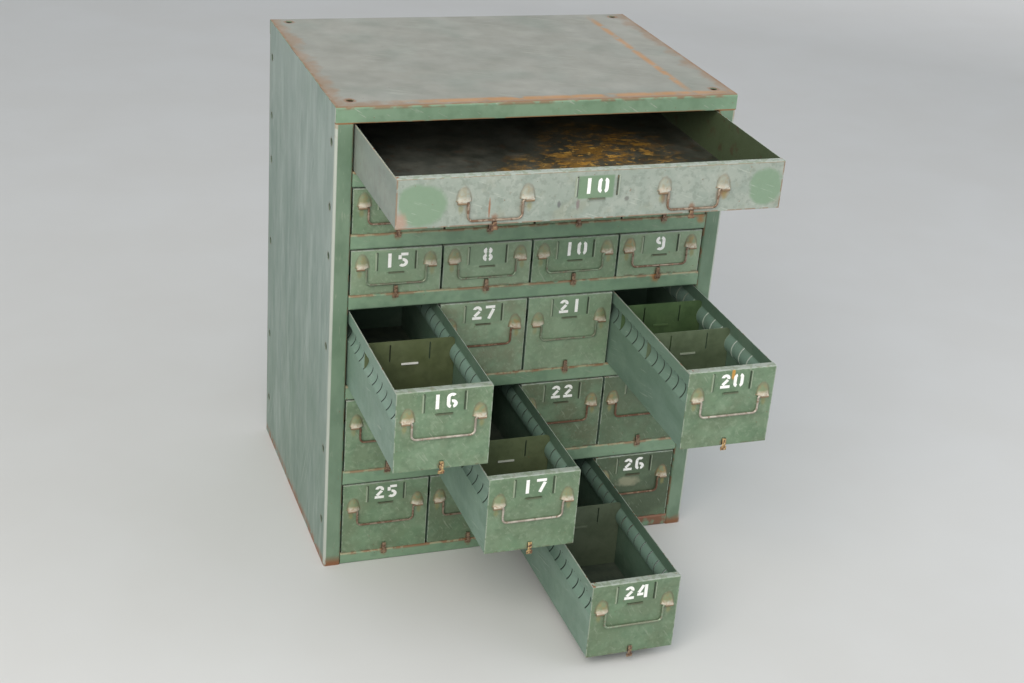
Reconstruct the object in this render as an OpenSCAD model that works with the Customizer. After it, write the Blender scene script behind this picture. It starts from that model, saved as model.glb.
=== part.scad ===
// Folded sheet-metal cabinet with one wide tray and five rows of four drawers.
// Millimetres. X runs to the right, Y to the back, Z up.
// The origin is on the floor, at the centre of the casing's footprint.

/* [Casing] */
// Width over the side panels
case_w = 610; // [520:1:760]
// Depth from the rails' faces to the back
case_d = 454; // [380:1:560]
// Thickness of the casing's sheet
case_t = 1.5; // [1:0.1:2.5]
// Centre-line radius of the casing's bends
case_bend = 2.6; // [1.8:0.1:5]
// Width of the stiles at both sides of the opening
stile_w = 26.4; // [20:0.1:40]
// Depth of the lips folded back behind the stiles and rails
rail_lip = 10; // [6:0.5:16]
// Height of the top panel's front face
top_rail = 23.5; // [16:0.5:40]
// Height of the rail on each shelf's front edge
shelf_rail = 23.4; // [16:0.1:36]
// Height of the rail on the base pan's front edge
base_rail = 19.5; // [14:0.5:40]
// Width of the flanges folded in at the back of the sides
rear_flange = 18; // [12:1:30]
// Height of the flanges that fix the shelves to the sides
shelf_flange = 14; // [8:1:16]

/* [Bays] */
// Height of the three upper bays, for the tray and the small drawers
small_bay = 71.5; // [60:0.5:90]
// Height of the three lower bays
big_bay = 124; // [100:0.5:150]
// Height of the guide strips between the drawers
guide_h = 22; // [12:1:40]
// Thickness of the guide strips
guide_t = 1.2; // [0.8:0.1:2]
// Distance of the guide strips behind the front
guide_setback = 16; // [12:1:30]

/* [Screw holes] */
// Diameter of the holes in the sides and the top
hole_d = 11; // [6:0.5:14]
// Height of each pair of holes in a side panel, from the floor
side_hole_z = [75, 200, 373, 518, 593, 690];
// Distance of the side holes from the front and the back
side_hole_y = 22; // [18:0.5:30]
// Distance of the top holes from the sides
top_hole_x = 26.5; // [20:0.5:50]
// Distance of the top holes from the front
top_hole_front = 29; // [20:0.5:50]
// Distance of the top holes from the back
top_hole_back = 20; // [18:0.5:50]

/* [Drawers] */
// Thickness of the drawers' sheet
drawer_t = 1; // [0.8:0.1:1.5]
// Gap between the outer drawers and the stiles
side_gap = 2; // [1:0.1:4]
// Gap between neighbouring drawers
column_gap = 3.5; // [2.6:0.1:6]
// Gap above each front
top_gap = 2; // [1:0.1:4]
// Running gap between a drawer and its shelf
run_gap = 0.3; // [0.2:0.05:0.6]
// Distance of the fronts behind the rails' faces
front_recess = 1.5; // [0.5:0.1:3]
// Gap behind a closed drawer
rear_gap = 4; // [2:0.5:12]
// Depth of the lip folded back along the top of each front
front_lip = 11; // [8:0.5:16]
// Distance of the side beads' centre below the top of the drawer
bead_drop = 34.5; // [24:0.5:36]
// Height of the side beads
bead_h = 30; // [14:0.5:34]
// Depth of the side beads
bead_depth = 7.5; // [4:0.5:9]
// Spacing of the slits that hold the dividers
slit_pitch = 25; // [15:0.5:50]
// Width of the slits
slit_w = 1.8; // [1.6:0.1:2.6]
// Distance of the first slit behind the front
first_slit = 21; // [16:0.5:40]

/* [Pulled out] */
// How far the tray stands out
out_tray = 217; // [0:1:380]
// How far the first drawer of row four stands out
out_4_1 = 260; // [0:1:380]
// How far the last drawer of row four stands out
out_4_4 = 279; // [0:1:380]
// How far the second drawer of row five stands out
out_5_2 = 263; // [0:1:380]
// How far the third drawer of row six stands out
out_6_3 = 341; // [0:1:380]

/* [Card slots] */
// Distance between the two upright card slots
card_w = 59; // [40:1:64]
// Height of the upright card slots
card_h = 27; // [16:1:30]
// Distance of the card slots below the top of the front
card_drop = 5.5; // [5:0.5:12]
// Distance of the tray's card slots below the top of its front
tray_card_drop = 9.5; // [5:0.5:12]
// Width of the card slots
card_slot = 2; // [1:0.1:3]
// Length of the level slot below the number
card_ledge = 25; // [12:1:40]
// Distance of the level slot below the lower ends of the upright ones
card_ledge_drop = 4.5; // [2:0.5:9]
// Thickness of the tongues pressed out over the card slots
tongue_t = 0.8; // [0.6:0.1:1]
// How far the tongues stand out
tongue_out = 1.7; // [1.5:0.1:2.5]

/* [Bails] */
// Diameter of the bail's wire
wire_d = 3.3; // [2.5:0.1:4]
// Distance between the centres of a bail's legs
bail_w = 89.6; // [70:0.2:92]
// Distance between the centres of the legs of the tray's bails
tray_bail_w = 75; // [60:0.2:92]
// Distance from a bail's pivot to the middle of its bar
bail_drop = 26; // [18:0.5:30]
// Radius of the bail's two lower corners
bail_corner = 7; // [4:0.5:12]
// Radius of the bends between the legs and the stubs
stub_bend = 3; // [2.5:0.1:4]
// Length of the stubs in the lugs
stub_len = 15; // [10:0.5:16]
// Distance of the pivot below the top of a small front
small_pivot_drop = 28; // [24:0.5:34]
// Distance of the pivot below the top of a big front
big_pivot_drop = 46; // [36:0.5:60]
// Distance of the pivots below the top of the tray's front
tray_pivot_drop = 36; // [26:0.5:36.5]
// Distance of the tray's bails from its ends
tray_bail_inset = 134.6; // [100:0.1:180]
// Gap between the wire and the front
wire_gap = 0.5; // [0.3:0.1:1]
// Radial clearance of the wire in its knuckle
bore_gap = 0.2; // [0.1:0.05:0.3]
// Thickness of the lugs' metal
lug_t = 1.1; // [0.8:0.1:1.4]
// Distance from a leg's centre to the middle of the hood over its knuckle
hood_shift = 6.2; // [4.5:0.1:9]
// Width of the hood along its lower edge
hood_w = 21.5; // [14:0.5:24]
// Height of the hood, from its lower edge to its tip
hood_h = 20.5; // [14:0.5:21]
// How far the hood's lower edge stands out
hood_out = 6.4; // [5.5:0.1:8]

/* [Catches] */
// Thickness of the spring strip
catch_t = 1; // [0.6:0.1:1.2]
// Width of the spring strip
catch_w = 5.5; // [4:0.5:8]
// Width of the foot at its lower end
catch_foot_w = 9; // [6:0.5:12]
// Height of the foot
catch_foot_h = 5.5; // [3:0.5:6]
// How far the foot hangs below the drawer
catch_hang = 7; // [4:0.5:12]
// Height at which the strip passes through a drawer's front
catch_pass = 11; // [8:0.5:11.5]
// Height at which it passes through the tray's front
tray_catch_pass = 4; // [4:0.5:11]
// Length of the strip along the drawer's floor
catch_len = 34; // [20:1:50]
// Gap between the strip and the rail in front of which it hangs
catch_gap = 0.4; // [0.3:0.1:1]
// Diameter of the rivet that holds the strip
rivet_d = 5; // [3:0.5:6]

/* [Dividers] */
// Thickness of the dividers
divider_t = 1; // [0.8:0.1:1.2]
// Distance of a divider's top below the top of the drawer
divider_drop = 9; // [5:0.5:12]
// Radius of a divider's upper corners
divider_corner = 6; // [3:0.5:8]
// Gap around a divider
divider_gap = 0.4; // [0.3:0.1:0.8]
// Slit that holds the divider in the first drawer of row four
slit_4_1 = 6; // [1:1:14]
// Slit that holds the front divider in the last drawer of row four
slit_4_4_front = 5; // [1:1:6]
// Slit that holds the rear divider in the last drawer of row four
slit_4_4_rear = 9; // [7:1:14]
// Slit that holds the divider in the second drawer of row five
slit_5_2 = 4; // [1:1:14]
// Slit that holds the divider in the third drawer of row six
slit_6_3 = 8; // [1:1:14]

/* [Hidden] */
$fn = 48;
columns = 4;
bay_h = [small_bay, small_bay, small_bay, big_bay, big_bay, big_bay];
rows = len(bay_h);
drawer_rows = [for (row = [2 : rows]) row];
front_y = -case_d / 2;
back_y = case_d / 2;
half_w = case_w / 2;
open_half = half_w - stile_w;
shelf_end = back_y - 2 * case_t;
bend_reach = case_bend + case_t / 2;
wing_end = back_y - bend_reach;
cut = 1;
fine_bend = 1.5;

function sum(list, count) = count == 0 ? 0 : list[count - 1] + sum(list, count - 1);
function floor_z(row) = base_rail + sum([for (k = [rows - 1 : -1 : 0]) bay_h[k]], rows - row)
    + shelf_rail * (rows - row);
case_h = floor_z(1) + bay_h[0] + top_rail;
stile_top = case_h - top_rail;

drawer_w = (2 * open_half - 2 * side_gap - (columns - 1) * column_gap) / columns;
tray_w = 2 * (open_half - side_gap);
tray_bail_x = tray_w / 2 - tray_bail_inset;
drawer_len = shelf_end - rear_gap - front_y - front_recess;
function drawer_h(row) = bay_h[row - 1] - top_gap - run_gap;
function drawer_x(column) = -open_half + side_gap + (column - 0.5) * drawer_w + (column - 1) * column_gap;
function slit_y(slit) = first_slit + slit * slit_pitch;
slits = floor((drawer_len - 2 * first_slit) / slit_pitch);

bead_r = (pow(bead_h / 2, 2) + pow(bead_depth, 2)) / (2 * bead_depth);

wire_r = wire_d / 2;
pivot_y = -wire_r - wire_gap;
knuckle_bore = wire_r + bore_gap;
knuckle_r = knuckle_bore + lug_t;
knuckle_reach = stub_bend + bore_gap;
knuckle_len = stub_len - stub_bend - bore_gap;
hood_z = wire_r + 2 * bore_gap;
hood_floor = knuckle_r + bore_gap;
hood_lean = atan(hood_out / hood_h);
hood_bulge = hood_out * cos(hood_lean);
hood_r = (pow(hood_w / 2, 2) + pow(hood_bulge, 2)) / (2 * hood_bulge);
function leg_x(row) = (row == 1 ? tray_bail_w : bail_w) / 2;
function pivot_drop(row) = row == 1 ? tray_pivot_drop : row <= 3 ? small_pivot_drop : big_pivot_drop;
function bail_places(row) = row == 1 ? [-tray_bail_x, tray_bail_x] : [0];
function card_top(row) = row == 1 ? tray_card_drop : card_drop;
function pass_z(row) = row == 1 ? tray_catch_pass : catch_pass;

function drawer_name(row, column) = str("drawer_", row, "_", column);
function bail_name(row, column) = str("bail_", row, "_", column);
function shelf_name(row) = str("shelf_", row);

// Helpers: outlines drawn in a plane and pulled along one axis
module along_x(from, to) {
    translate([from, 0, 0]) rotate([90, 0, 90]) linear_extrude(to - from) children();
}
module along_y(from, to) {
    translate([0, to, 0]) rotate([90, 0, 0]) linear_extrude(to - from) children();
}
module along_z(from, to) {
    translate([0, 0, from]) linear_extrude(to - from) children();
}
module both_sides() {
    children();
    mirror([1, 0, 0]) children();
}

// Helpers: the section of a folded sheet that follows a path
function heading(a, b) = (b - a) / norm(b - a);
function turn(a, b, c) = acos(max(-1, min(1, heading(a, b) * heading(b, c))));
function bend_cut(path, i, radii) = i <= 0 || i >= len(path) - 1 ? 0
    : radii[i - 1] * tan(turn(path[i - 1], path[i], path[i + 1]) / 2);

// One flat stretch of sheet between two bends
module flat(a, b, t) {
    along = b - a;
    translate(a) rotate(atan2(along.y, along.x)) translate([0, -t / 2]) square([norm(along), t]);
}

// One bend: the slice of a ring between the two flats that meet at b
module bend(a, b, c, t, r) {
    u = heading(a, b);
    v = heading(b, c);
    back = r * tan(turn(a, b, c) / 2);
    centre = b - u * back + sign(cross(u, v)) * r * [-u.y, u.x];
    reach = 1 + t / r;
    intersection() {
        translate(centre) difference() {
            circle(r + t / 2);
            circle(r - t / 2);
        }
        polygon([for (p = [centre, b - u * back, b, b + v * back]) centre + (p - centre) * reach]);
    }
}

// The whole section; radii holds the centre-line radius of each bend in turn
module fold(path, t, radii) {
    for (i = [0 : len(path) - 2]) {
        u = heading(path[i], path[i + 1]);
        flat(path[i] + u * bend_cut(path, i, radii), path[i + 1] - u * bend_cut(path, i + 1, radii), t);
    }
    for (i = [1 : len(path) - 2])
        bend(path[i - 1], path[i], path[i + 1], t, radii[i - 1]);
}

// Casing
module side_section() {
    inner = -open_half - case_t / 2;
    outer = -half_w + case_t / 2;
    fold([
        [inner, front_y + rail_lip],
        [inner, front_y + case_t / 2],
        [outer, front_y + case_t / 2],
        [outer, back_y - case_t / 2],
        [-half_w + rear_flange, back_y - case_t / 2]
    ], case_t, [case_bend, case_bend, case_bend]);
}
module side_head() {
    polygon([
        [front_y + case_t, stile_top],
        [front_y + case_t, case_h - bend_reach],
        [front_y + bend_reach, case_h - case_t],
        [back_y - bend_reach, case_h - case_t],
        [back_y - case_t, case_h - bend_reach],
        [back_y - case_t, stile_top]
    ]);
}
module side_panel() {
    difference() {
        union() {
            along_z(0, stile_top) side_section();
            along_x(-half_w, -half_w + case_t) side_head();
        }
        for (z = side_hole_z, y = [front_y + side_hole_y, back_y - side_hole_y])
            translate([-half_w - cut, y, z]) rotate([0, 90, 0]) cylinder(d = hole_d, h = case_t + 2 * cut);
    }
}
module left_side() {
    color("#8a9a90") side_panel();
}
module right_side() {
    color("#6f8c72") mirror([1, 0, 0]) side_panel();
}

module top_panel() {
    near = front_y + case_t / 2;
    far = back_y - case_t / 2;
    z = case_h - case_t / 2;
    color("#8d9187") difference() {
        union() {
            along_x(-half_w, half_w)
                fold([[near, stile_top], [near, z], [far, z], [far, stile_top]], case_t, [case_bend, case_bend]);
            along_x(-half_w + case_t, half_w - case_t)
                translate([near, stile_top]) square([rail_lip - case_t / 2, case_t]);
        }
        both_sides() for (y = [front_y + top_hole_front, back_y - top_hole_back])
            translate([half_w - top_hole_x, y, case_h - case_t - cut]) cylinder(d = hole_d, h = case_t + 2 * cut);
    }
}

module back_panel() {
    half = half_w - bend_reach;
    color("#5f7a62") along_y(back_y - 2 * case_t, back_y - case_t)
        translate([-half, 0]) square([2 * half, case_h - bend_reach]);
}

// A shelf or the base pan: a plate whose front edge is folded down into a rail,
// notched round the stiles' lips and flanged where it meets the side panels
module pan(z, tail, radii) {
    notch_y = front_y + rail_lip + run_gap;
    along_x(-open_half, open_half) fold(tail, case_t, radii);
    both_sides() {
        translate([open_half, notch_y, z - case_t])
            cube([half_w - case_t - open_half, wing_end - notch_y, case_t]);
        translate([half_w - 2 * case_t, notch_y, z - shelf_flange])
            cube([case_t, wing_end - notch_y, shelf_flange]);
    }
}
module shelf(row) {
    z = floor_z(row);
    low = z - shelf_rail + case_t / 2;
    high = z - case_t / 2;
    near = front_y + case_t / 2;
    color("#6f9374") pan(z, [
        [front_y + rail_lip, low],
        [near, low],
        [near, high],
        [shelf_end - case_t / 2, high],
        [shelf_end - case_t / 2, z - shelf_flange]
    ], [case_bend, case_bend, case_bend]);
}
module base_pan() {
    z = base_rail;
    low = case_t / 2;
    high = z - case_t / 2;
    near = front_y + case_t / 2;
    far = shelf_end - case_t / 2;
    color("#6f9374") pan(z, [
        [front_y + rail_lip, low],
        [near, low],
        [near, high],
        [far, high],
        [far, low],
        [shelf_end - rail_lip, low]
    ], [case_bend, case_bend, case_bend, case_bend]);
}

// Strips on the shelves that keep the drawers apart, and angles beside the stiles
module drawer_guides() {
    far = shelf_end - case_bend - rear_gap;
    near = front_y + guide_setback;
    color("#4f6653") {
        for (row = drawer_rows, column = [1 : columns - 1]) {
            x = drawer_x(column) + (drawer_w + column_gap) / 2;
            translate([x - guide_t / 2, near, floor_z(row)]) cube([guide_t, far - near, guide_h]);
        }
        for (row = [1 : rows]) both_sides() {
            x = open_half + guide_t / 2;
            z = floor_z(row);
            along_y(near, far) fold([
                [x, z + guide_h],
                [x, z + guide_t / 2],
                [half_w - 2 * case_t - cut, z + guide_t / 2]
            ], guide_t, [fine_bend]);
        }
    }
}

// Drawers, drawn with the front's face at y = 0 and the floor's underside at z = 0
module plain_section(w, h) {
    x = w / 2 - drawer_t / 2;
    z = drawer_t / 2;
    fold([[-x, h - drawer_t], [-x, z], [x, z], [x, h - drawer_t]], drawer_t, [fine_bend, fine_bend]);
}
module beaded_section(w, h) {
    bead = [-w / 2 + drawer_t + bead_depth - bead_r, h - bead_drop];
    difference() {
        union() {
            plain_section(w, h);
            both_sides() intersection() {
                translate(bead) circle(bead_r);
                translate([-w / 2, bead.y - bead_r]) square(2 * bead_r);
            }
        }
        both_sides() translate(bead) circle(bead_r - drawer_t);
    }
}
module beaded_wall_shell(w, h) {
    low = h - bead_drop - bead_h / 2 - cut;
    difference() {
        along_y(drawer_t, drawer_len - drawer_t) beaded_section(w, h);
        for (slit = [0 : slits])
            translate([-w / 2 - cut, slit_y(slit) - slit_w / 2, low]) cube([w + 2 * cut, slit_w, bead_h + 2 * cut]);
    }
}
module plain_wall_shell(w, h) {
    along_y(drawer_t, drawer_len - drawer_t) plain_section(w, h);
}

// Lugs, drawn with the leg's centre at x = 0: a knuckle round the bail's stub below a hood
// pressed out of the sheet, which leans back from its lower edge
module hood(r, low, back) {
    intersection() {
        translate([hood_shift, -hood_out, hood_z]) rotate([-hood_lean, 0, 0])
            translate([0, hood_r, -hood_h]) cylinder(r = r, h = 3 * hood_h);
        translate([hood_shift - hood_w, -2 * hood_out, low])
            cube([2 * hood_w, 2 * hood_out + back, 2 * hood_h]);
    }
}
module lug_outside() {
    translate([knuckle_reach, pivot_y, 0]) rotate([0, 90, 0]) cylinder(r = knuckle_r, h = knuckle_len);
    hood(hood_r, hood_z, drawer_t);
}
module lug_inside() {
    translate([knuckle_reach - cut, pivot_y, 0]) rotate([0, 90, 0])
        cylinder(r = knuckle_bore, h = knuckle_len + 2 * cut);
    hood(hood_r - lug_t, hood_floor, drawer_t + cut);
}
module lugs(row) {
    for (x = bail_places(row), side = [0, 1])
        translate([x, 0, 0]) mirror([side, 0, 0]) translate([leg_x(row), 0, 0]) children();
}

// Card slots, drawn along X; each has a tongue that starts at its upper edge and covers it
module slot(length) {
    translate([-length / 2, -cut, -card_slot / 2]) cube([length, drawer_t + 2 * cut, card_slot]);
}
module tongue(length) {
    translate([-length / 2, -tongue_out, card_slot / 2]) cube([length, tongue_out + drawer_t / 2, tongue_t]);
    translate([-length / 2, -tongue_out, -card_slot / 2]) cube([length, tongue_t, card_slot + tongue_t]);
}
module upright_places(top) {
    for (side = [-1, 1])
        translate([side * card_w / 2, 0, top - card_h / 2]) rotate([0, side * 90, 0]) children();
}
module ledge_place(top) {
    translate([0, 0, top - card_h - card_ledge_drop]) children();
}

module front_plate(w, h, row) {
    pivot_z = h - pivot_drop(row);
    card_z = h - card_top(row);
    upright_places(card_z) tongue(card_h);
    ledge_place(card_z) rotate([0, 180, 0]) tongue(card_ledge);
    difference() {
        union() {
            along_x(-w / 2, w / 2) fold([
                [front_lip, h - drawer_t / 2],
                [drawer_t / 2, h - drawer_t / 2],
                [drawer_t / 2, 0]
            ], drawer_t, [fine_bend]);
            translate([0, 0, pivot_z]) lugs(row) lug_outside();
        }
        translate([0, 0, pivot_z]) lugs(row) lug_inside();
        upright_places(card_z) slot(card_h);
        ledge_place(card_z) slot(card_ledge);
        for (x = bail_places(row))
            translate([x - catch_w / 2 - catch_gap, -cut, -cut])
                cube([catch_w + 2 * catch_gap, drawer_t + 2 * cut, pass_z(row) + catch_t + catch_gap + cut]);
    }
}

module catch_strip(row) {
    face_y = -front_recess - catch_gap - catch_t / 2;
    inside_y = drawer_t + catch_gap + catch_t;
    floor_top = drawer_t + catch_t / 2;
    along_x(-catch_w / 2, catch_w / 2) fold([
        [catch_len, floor_top],
        [inside_y, floor_top],
        [inside_y, pass_z(row)],
        [face_y, pass_z(row)],
        [face_y, -catch_hang]
    ], catch_t, [catch_t, catch_t, catch_t]);
    translate([-catch_foot_w / 2, face_y - catch_t / 2, -catch_hang])
        cube([catch_foot_w, catch_t, catch_foot_h]);
    translate([0, catch_len - rivet_d, drawer_t + catch_t]) cylinder(d = rivet_d, h = catch_t);
}

module drawer_solids(w, h, row) {
    front_plate(w, h, row);
    if (row == 1) plain_wall_shell(w, h);
    else beaded_wall_shell(w, h);
    translate([-w / 2, drawer_len - drawer_t, 0]) cube([w, drawer_t, h - drawer_t]);
    for (x = bail_places(row)) translate([x, 0, 0]) catch_strip(row);
}

// Where a drawer stands at rest
function out(row, column) = row == 1 ? out_tray
    : row == 4 && column == 1 ? out_4_1
    : row == 4 && column == 4 ? out_4_4
    : row == 5 && column == 2 ? out_5_2
    : row == 6 && column == 3 ? out_6_3 : 0;
module in_bay(row, column) {
    x = row == 1 ? 0 : drawer_x(column);
    translate([x, front_y + front_recess - out(row, column), floor_z(row) + run_gap]) children();
}

module tray() {
    color("#7f9482") in_bay(1, 1) drawer_solids(tray_w, drawer_h(1), 1);
}
module drawer(row, column) {
    color("#709276") in_bay(row, column) drawer_solids(drawer_w, drawer_h(row), row);
}

// Bails: one bent wire whose ends turn outwards into the lugs
module half_bail(leg_x) {
    translate([leg_x + stub_bend, 0, 0]) rotate([0, 90, 0]) cylinder(r = wire_r, h = stub_len - stub_bend);
    translate([leg_x + stub_bend, 0, -stub_bend]) rotate([90, 0, 0])
        rotate([0, 0, 90]) rotate_extrude(angle = 90) translate([stub_bend, 0]) circle(wire_r);
    translate([leg_x, 0, -bail_drop + bail_corner]) cylinder(r = wire_r, h = bail_drop - bail_corner - stub_bend);
    translate([leg_x - bail_corner, 0, -bail_drop + bail_corner]) rotate([90, 0, 0])
        rotate([0, 0, -90]) rotate_extrude(angle = 90) translate([bail_corner, 0]) circle(wire_r);
    translate([0, 0, -bail_drop]) rotate([0, 90, 0]) cylinder(r = wire_r, h = leg_x - bail_corner);
}
module bail(row, column, x) {
    color("#9c8f7c") in_bay(row, column)
        translate([x, pivot_y, drawer_h(row) - pivot_drop(row)]) both_sides() half_bail(leg_x(row));
}

// Dividers, which drop into the slits of the side beads
module divider(row, column, slit) {
    half = drawer_w / 2 - drawer_t - divider_gap;
    low = drawer_t + divider_gap;
    high = drawer_h(row) - divider_drop;
    color("#5d6b45") in_bay(row, column) translate([0, slit_y(slit) - divider_t / 2, 0]) {
        ledge_place(high - card_drop) tongue(card_ledge);
        difference() {
            along_y(0, divider_t) {
                translate([-half, low]) square([2 * half, high - divider_corner - low]);
                translate([-half + divider_corner, low]) square([2 * (half - divider_corner), high - low]);
                for (side = [-1, 1])
                    translate([side * (half - divider_corner), high - divider_corner]) circle(divider_corner);
            }
            upright_places(high - card_drop) slot(card_h);
            ledge_place(high - card_drop) slot(card_ledge);
        }
    }
}

left_side();
right_side();
top_panel();
back_panel();
base_pan();
drawer_guides();
for (row = [1 : rows - 1])
    shelf(row);
tray();
bail(1, 1, -tray_bail_x);  // bail_tray_left
bail(1, 1, tray_bail_x);  // bail_tray_right
for (row = drawer_rows, column = [1 : columns])
    drawer(row, column);
for (row = drawer_rows, column = [1 : columns])
    bail(row, column, 0);
divider(4, 1, slit_4_1);  // divider_4_1
divider(5, 2, slit_5_2);  // divider_5_2
divider(6, 3, slit_6_3);  // divider_6_3
divider(4, 4, slit_4_4_front);  // divider_4_4_front
divider(4, 4, slit_4_4_rear);  // divider_4_4_rear
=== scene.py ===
"""Looks of a folded sheet-steel drawer cabinet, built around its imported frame.

Each sub-assembly and each finish is a class. Sizes are in millimetres until a mesh is placed,
because every pattern of wear follows a real size.
"""

import logging
import math
from collections.abc import Sequence
from dataclasses import dataclass, field
from enum import Enum

import bmesh
import bpy
from mathutils import Matrix, Vector


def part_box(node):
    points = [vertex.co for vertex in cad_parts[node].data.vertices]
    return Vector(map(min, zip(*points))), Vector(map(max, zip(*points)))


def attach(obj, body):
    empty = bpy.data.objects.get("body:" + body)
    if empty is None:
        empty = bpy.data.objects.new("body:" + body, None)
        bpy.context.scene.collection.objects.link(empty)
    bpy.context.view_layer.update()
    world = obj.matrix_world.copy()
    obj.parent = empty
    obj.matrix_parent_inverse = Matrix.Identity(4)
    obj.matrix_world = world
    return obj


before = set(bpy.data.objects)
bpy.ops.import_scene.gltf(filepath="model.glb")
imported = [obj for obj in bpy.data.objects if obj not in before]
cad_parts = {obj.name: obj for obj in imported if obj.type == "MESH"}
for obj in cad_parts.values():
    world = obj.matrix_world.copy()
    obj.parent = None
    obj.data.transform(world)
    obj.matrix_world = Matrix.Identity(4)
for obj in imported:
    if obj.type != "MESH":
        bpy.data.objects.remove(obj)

logging.basicConfig(level=logging.INFO, format="%(message)s")
LOG = logging.getLogger("cabinet")
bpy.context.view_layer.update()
MM = 0.001

# How far one unit of seed moves a noise along each axis, and the values that a noise seldom leaves
SEED_STEP = (37.1, 17.3, 53.9)
NOISE_REACH = (0.3, 0.7)

# What a node's input takes, and a colour with the mask of where it lies
Socket = bpy.types.NodeSocket
Value = Socket | float
Coat = tuple[str | Socket, Value]


def linear(code: str) -> tuple[float, float, float, float]:
    """Turns an sRGB hex colour to the linear values that a shader takes.

    Args:
        code: six hex digits, with or without a leading #.

    Returns:
        Red, green, blue and an alpha of 1.
    """
    parts = [int(code.lstrip("#")[i : i + 2], 16) / 255 for i in (0, 2, 4)]
    bent = [v / 12.92 if v <= 0.04045 else ((v + 0.055) / 1.055) ** 2.4 for v in parts]
    return (bent[0], bent[1], bent[2], 1.0)


class Finish:
    """A material's node tree, with the piece's coordinates in millimetres from a chosen origin.

    A mask is a value from 0 to 1, and a coat is a colour with the mask of where it lies.
    """

    def __init__(self, name: str, origin: Sequence[float] = (0.0, 0.0, 0.0)) -> None:
        """Starts a material with its shader, coordinates and normal.

        Args:
            name: the material's name.
            origin: the point, in millimetres, that the patterns are measured from.
        """
        self.material = bpy.data.materials.new(name)
        self.material.use_nodes = True
        self.tree = self.material.node_tree
        self.shader = next(n for n in self.tree.nodes if n.type == "BSDF_PRINCIPLED")
        place = self.tree.nodes.new("ShaderNodeTexCoord").outputs["Object"]
        self.at = self.add("Mapping", place, [-v for v in origin], None, [1 / MM] * 3)
        self.x, self.y, self.z = self.add("SeparateXYZ", self.at).node.outputs
        normal = self.tree.nodes.new("ShaderNodeNewGeometry").outputs["Normal"]
        self.nx, self.ny, self.nz = self.add("SeparateXYZ", normal).node.outputs

    def add(self, kind: str, *inputs: object, **settings: object) -> Socket:
        """Adds one node with its settings and links.

        Args:
            kind: the node's type, without its ShaderNode prefix.
            inputs: a socket, a value or None for each input in use, in order.
            settings: the node's own properties.

        Returns:
            The node's first output in use.
        """
        node = self.tree.nodes.new("ShaderNode" + kind)
        for key, value in settings.items():
            setattr(node, key, value)
        for place, value in zip([s for s in node.inputs if s.enabled], inputs):
            if isinstance(value, Socket):
                self.tree.links.new(value, place)
            elif value is not None:
                place.default_value = value
        return next(s for s in node.outputs if s.enabled)

    def size_of(self, value: Value) -> Socket:
        """A coordinate's distance from zero, for what is mirrored about it."""
        return self.add("Math", value, operation="ABSOLUTE")

    def off(self, value: Value, centre: float) -> Socket:
        """A coordinate's distance from a line at centre."""
        return self.size_of(self.add("Math", value, centre, operation="SUBTRACT"))

    def nearest(self, value: Value, lines: Sequence[float]) -> Socket:
        """A coordinate's distance from the nearest of several lines.

        Args:
            value: the coordinate.
            lines: the lines' places.

        Returns:
            The distance's socket.
        """
        out = self.off(value, lines[0])
        for line in lines[1:]:
            out = self.add("Math", out, self.off(value, line), operation="MINIMUM")
        return out

    def both(self, *masks: Value) -> Socket:
        """The mask of what lies in every one of the masks.

        Args:
            masks: masks, or plain strengths.

        Returns:
            The mask's socket.
        """
        out = masks[0]
        for mask in masks[1:]:
            out = self.add("Math", out, mask, operation="MULTIPLY")
        return out

    def either(self, *masks: Value) -> Socket:
        """The mask of what lies in any of the masks.

        Args:
            masks: masks, or plain strengths.

        Returns:
            The mask's socket.
        """
        out = masks[0]
        for mask in masks[1:]:
            out = self.add("Math", out, mask, operation="MAXIMUM")
        return out

    def span(self, value: Value, low: float | None, high: float | None,
             soft: float = 0.2) -> Socket:
        """A mask of 1 where a value lies between two limits.

        Args:
            value: the value looked at.
            low: its lower limit, or None.
            high: its upper limit, or None.
            soft: the width over which each end fades.

        Returns:
            The mask's socket.
        """
        ends = []
        if low is not None:
            ends.append(self.add("MapRange", value, low - soft / 2, low + soft / 2, 0.0, 1.0))
        if high is not None:
            ends.append(self.add("MapRange", value, high - soft / 2, high + soft / 2, 1.0, 0.0))
        return self.both(*ends)

    def cloud(self, size: float, seed: float = 0.0, stretch: Sequence[float] = (1, 1, 1),
              turn: Sequence[float] = (0, 0, 0), detail: float = 3.0,
              rough: float = 0.55) -> Socket:
        """Smooth noise whose lumps have a real size.

        Args:
            size: the lumps' size in millimetres.
            seed: moves the noise to another place.
            stretch: how many times longer the lumps are along each axis.
            turn: the pattern's turn about each axis, in degrees.
            detail: octaves of finer noise.
            rough: the finer octaves' strength.

        Returns:
            The noise, about 0.5 on average.
        """
        turned = self.add("Mapping", self.at, None, [math.radians(a) for a in turn], None)
        moved = self.add("Mapping", turned, [seed * step for step in SEED_STEP], None,
                         [1 / (size * s) for s in stretch])
        return self.add("TexNoise", moved, 1.0, detail, rough)

    def blotches(self, size: float, level: float, seed: float = 0.0, soft: float = 0.06,
                 **shape: object) -> Socket:
        """A mask of irregular patches.

        Args:
            size: the patches' size in millimetres.
            level: the noise level that they start at; 0.5 covers half the surface.
            seed: moves the pattern to another place.
            soft: how slowly their edges fade.
            shape: stretch, turn, detail and rough, as cloud takes them.

        Returns:
            The mask's socket.
        """
        return self.span(self.cloud(size, seed, **shape), level, None, soft)

    def patches(self, colour: str, strength: float, *pattern: float, **shape: object) -> Coat:
        """A coat of irregular patches, in the pattern and shape that blotches takes."""
        return colour, self.both(self.blotches(*pattern, **shape), strength)

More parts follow.
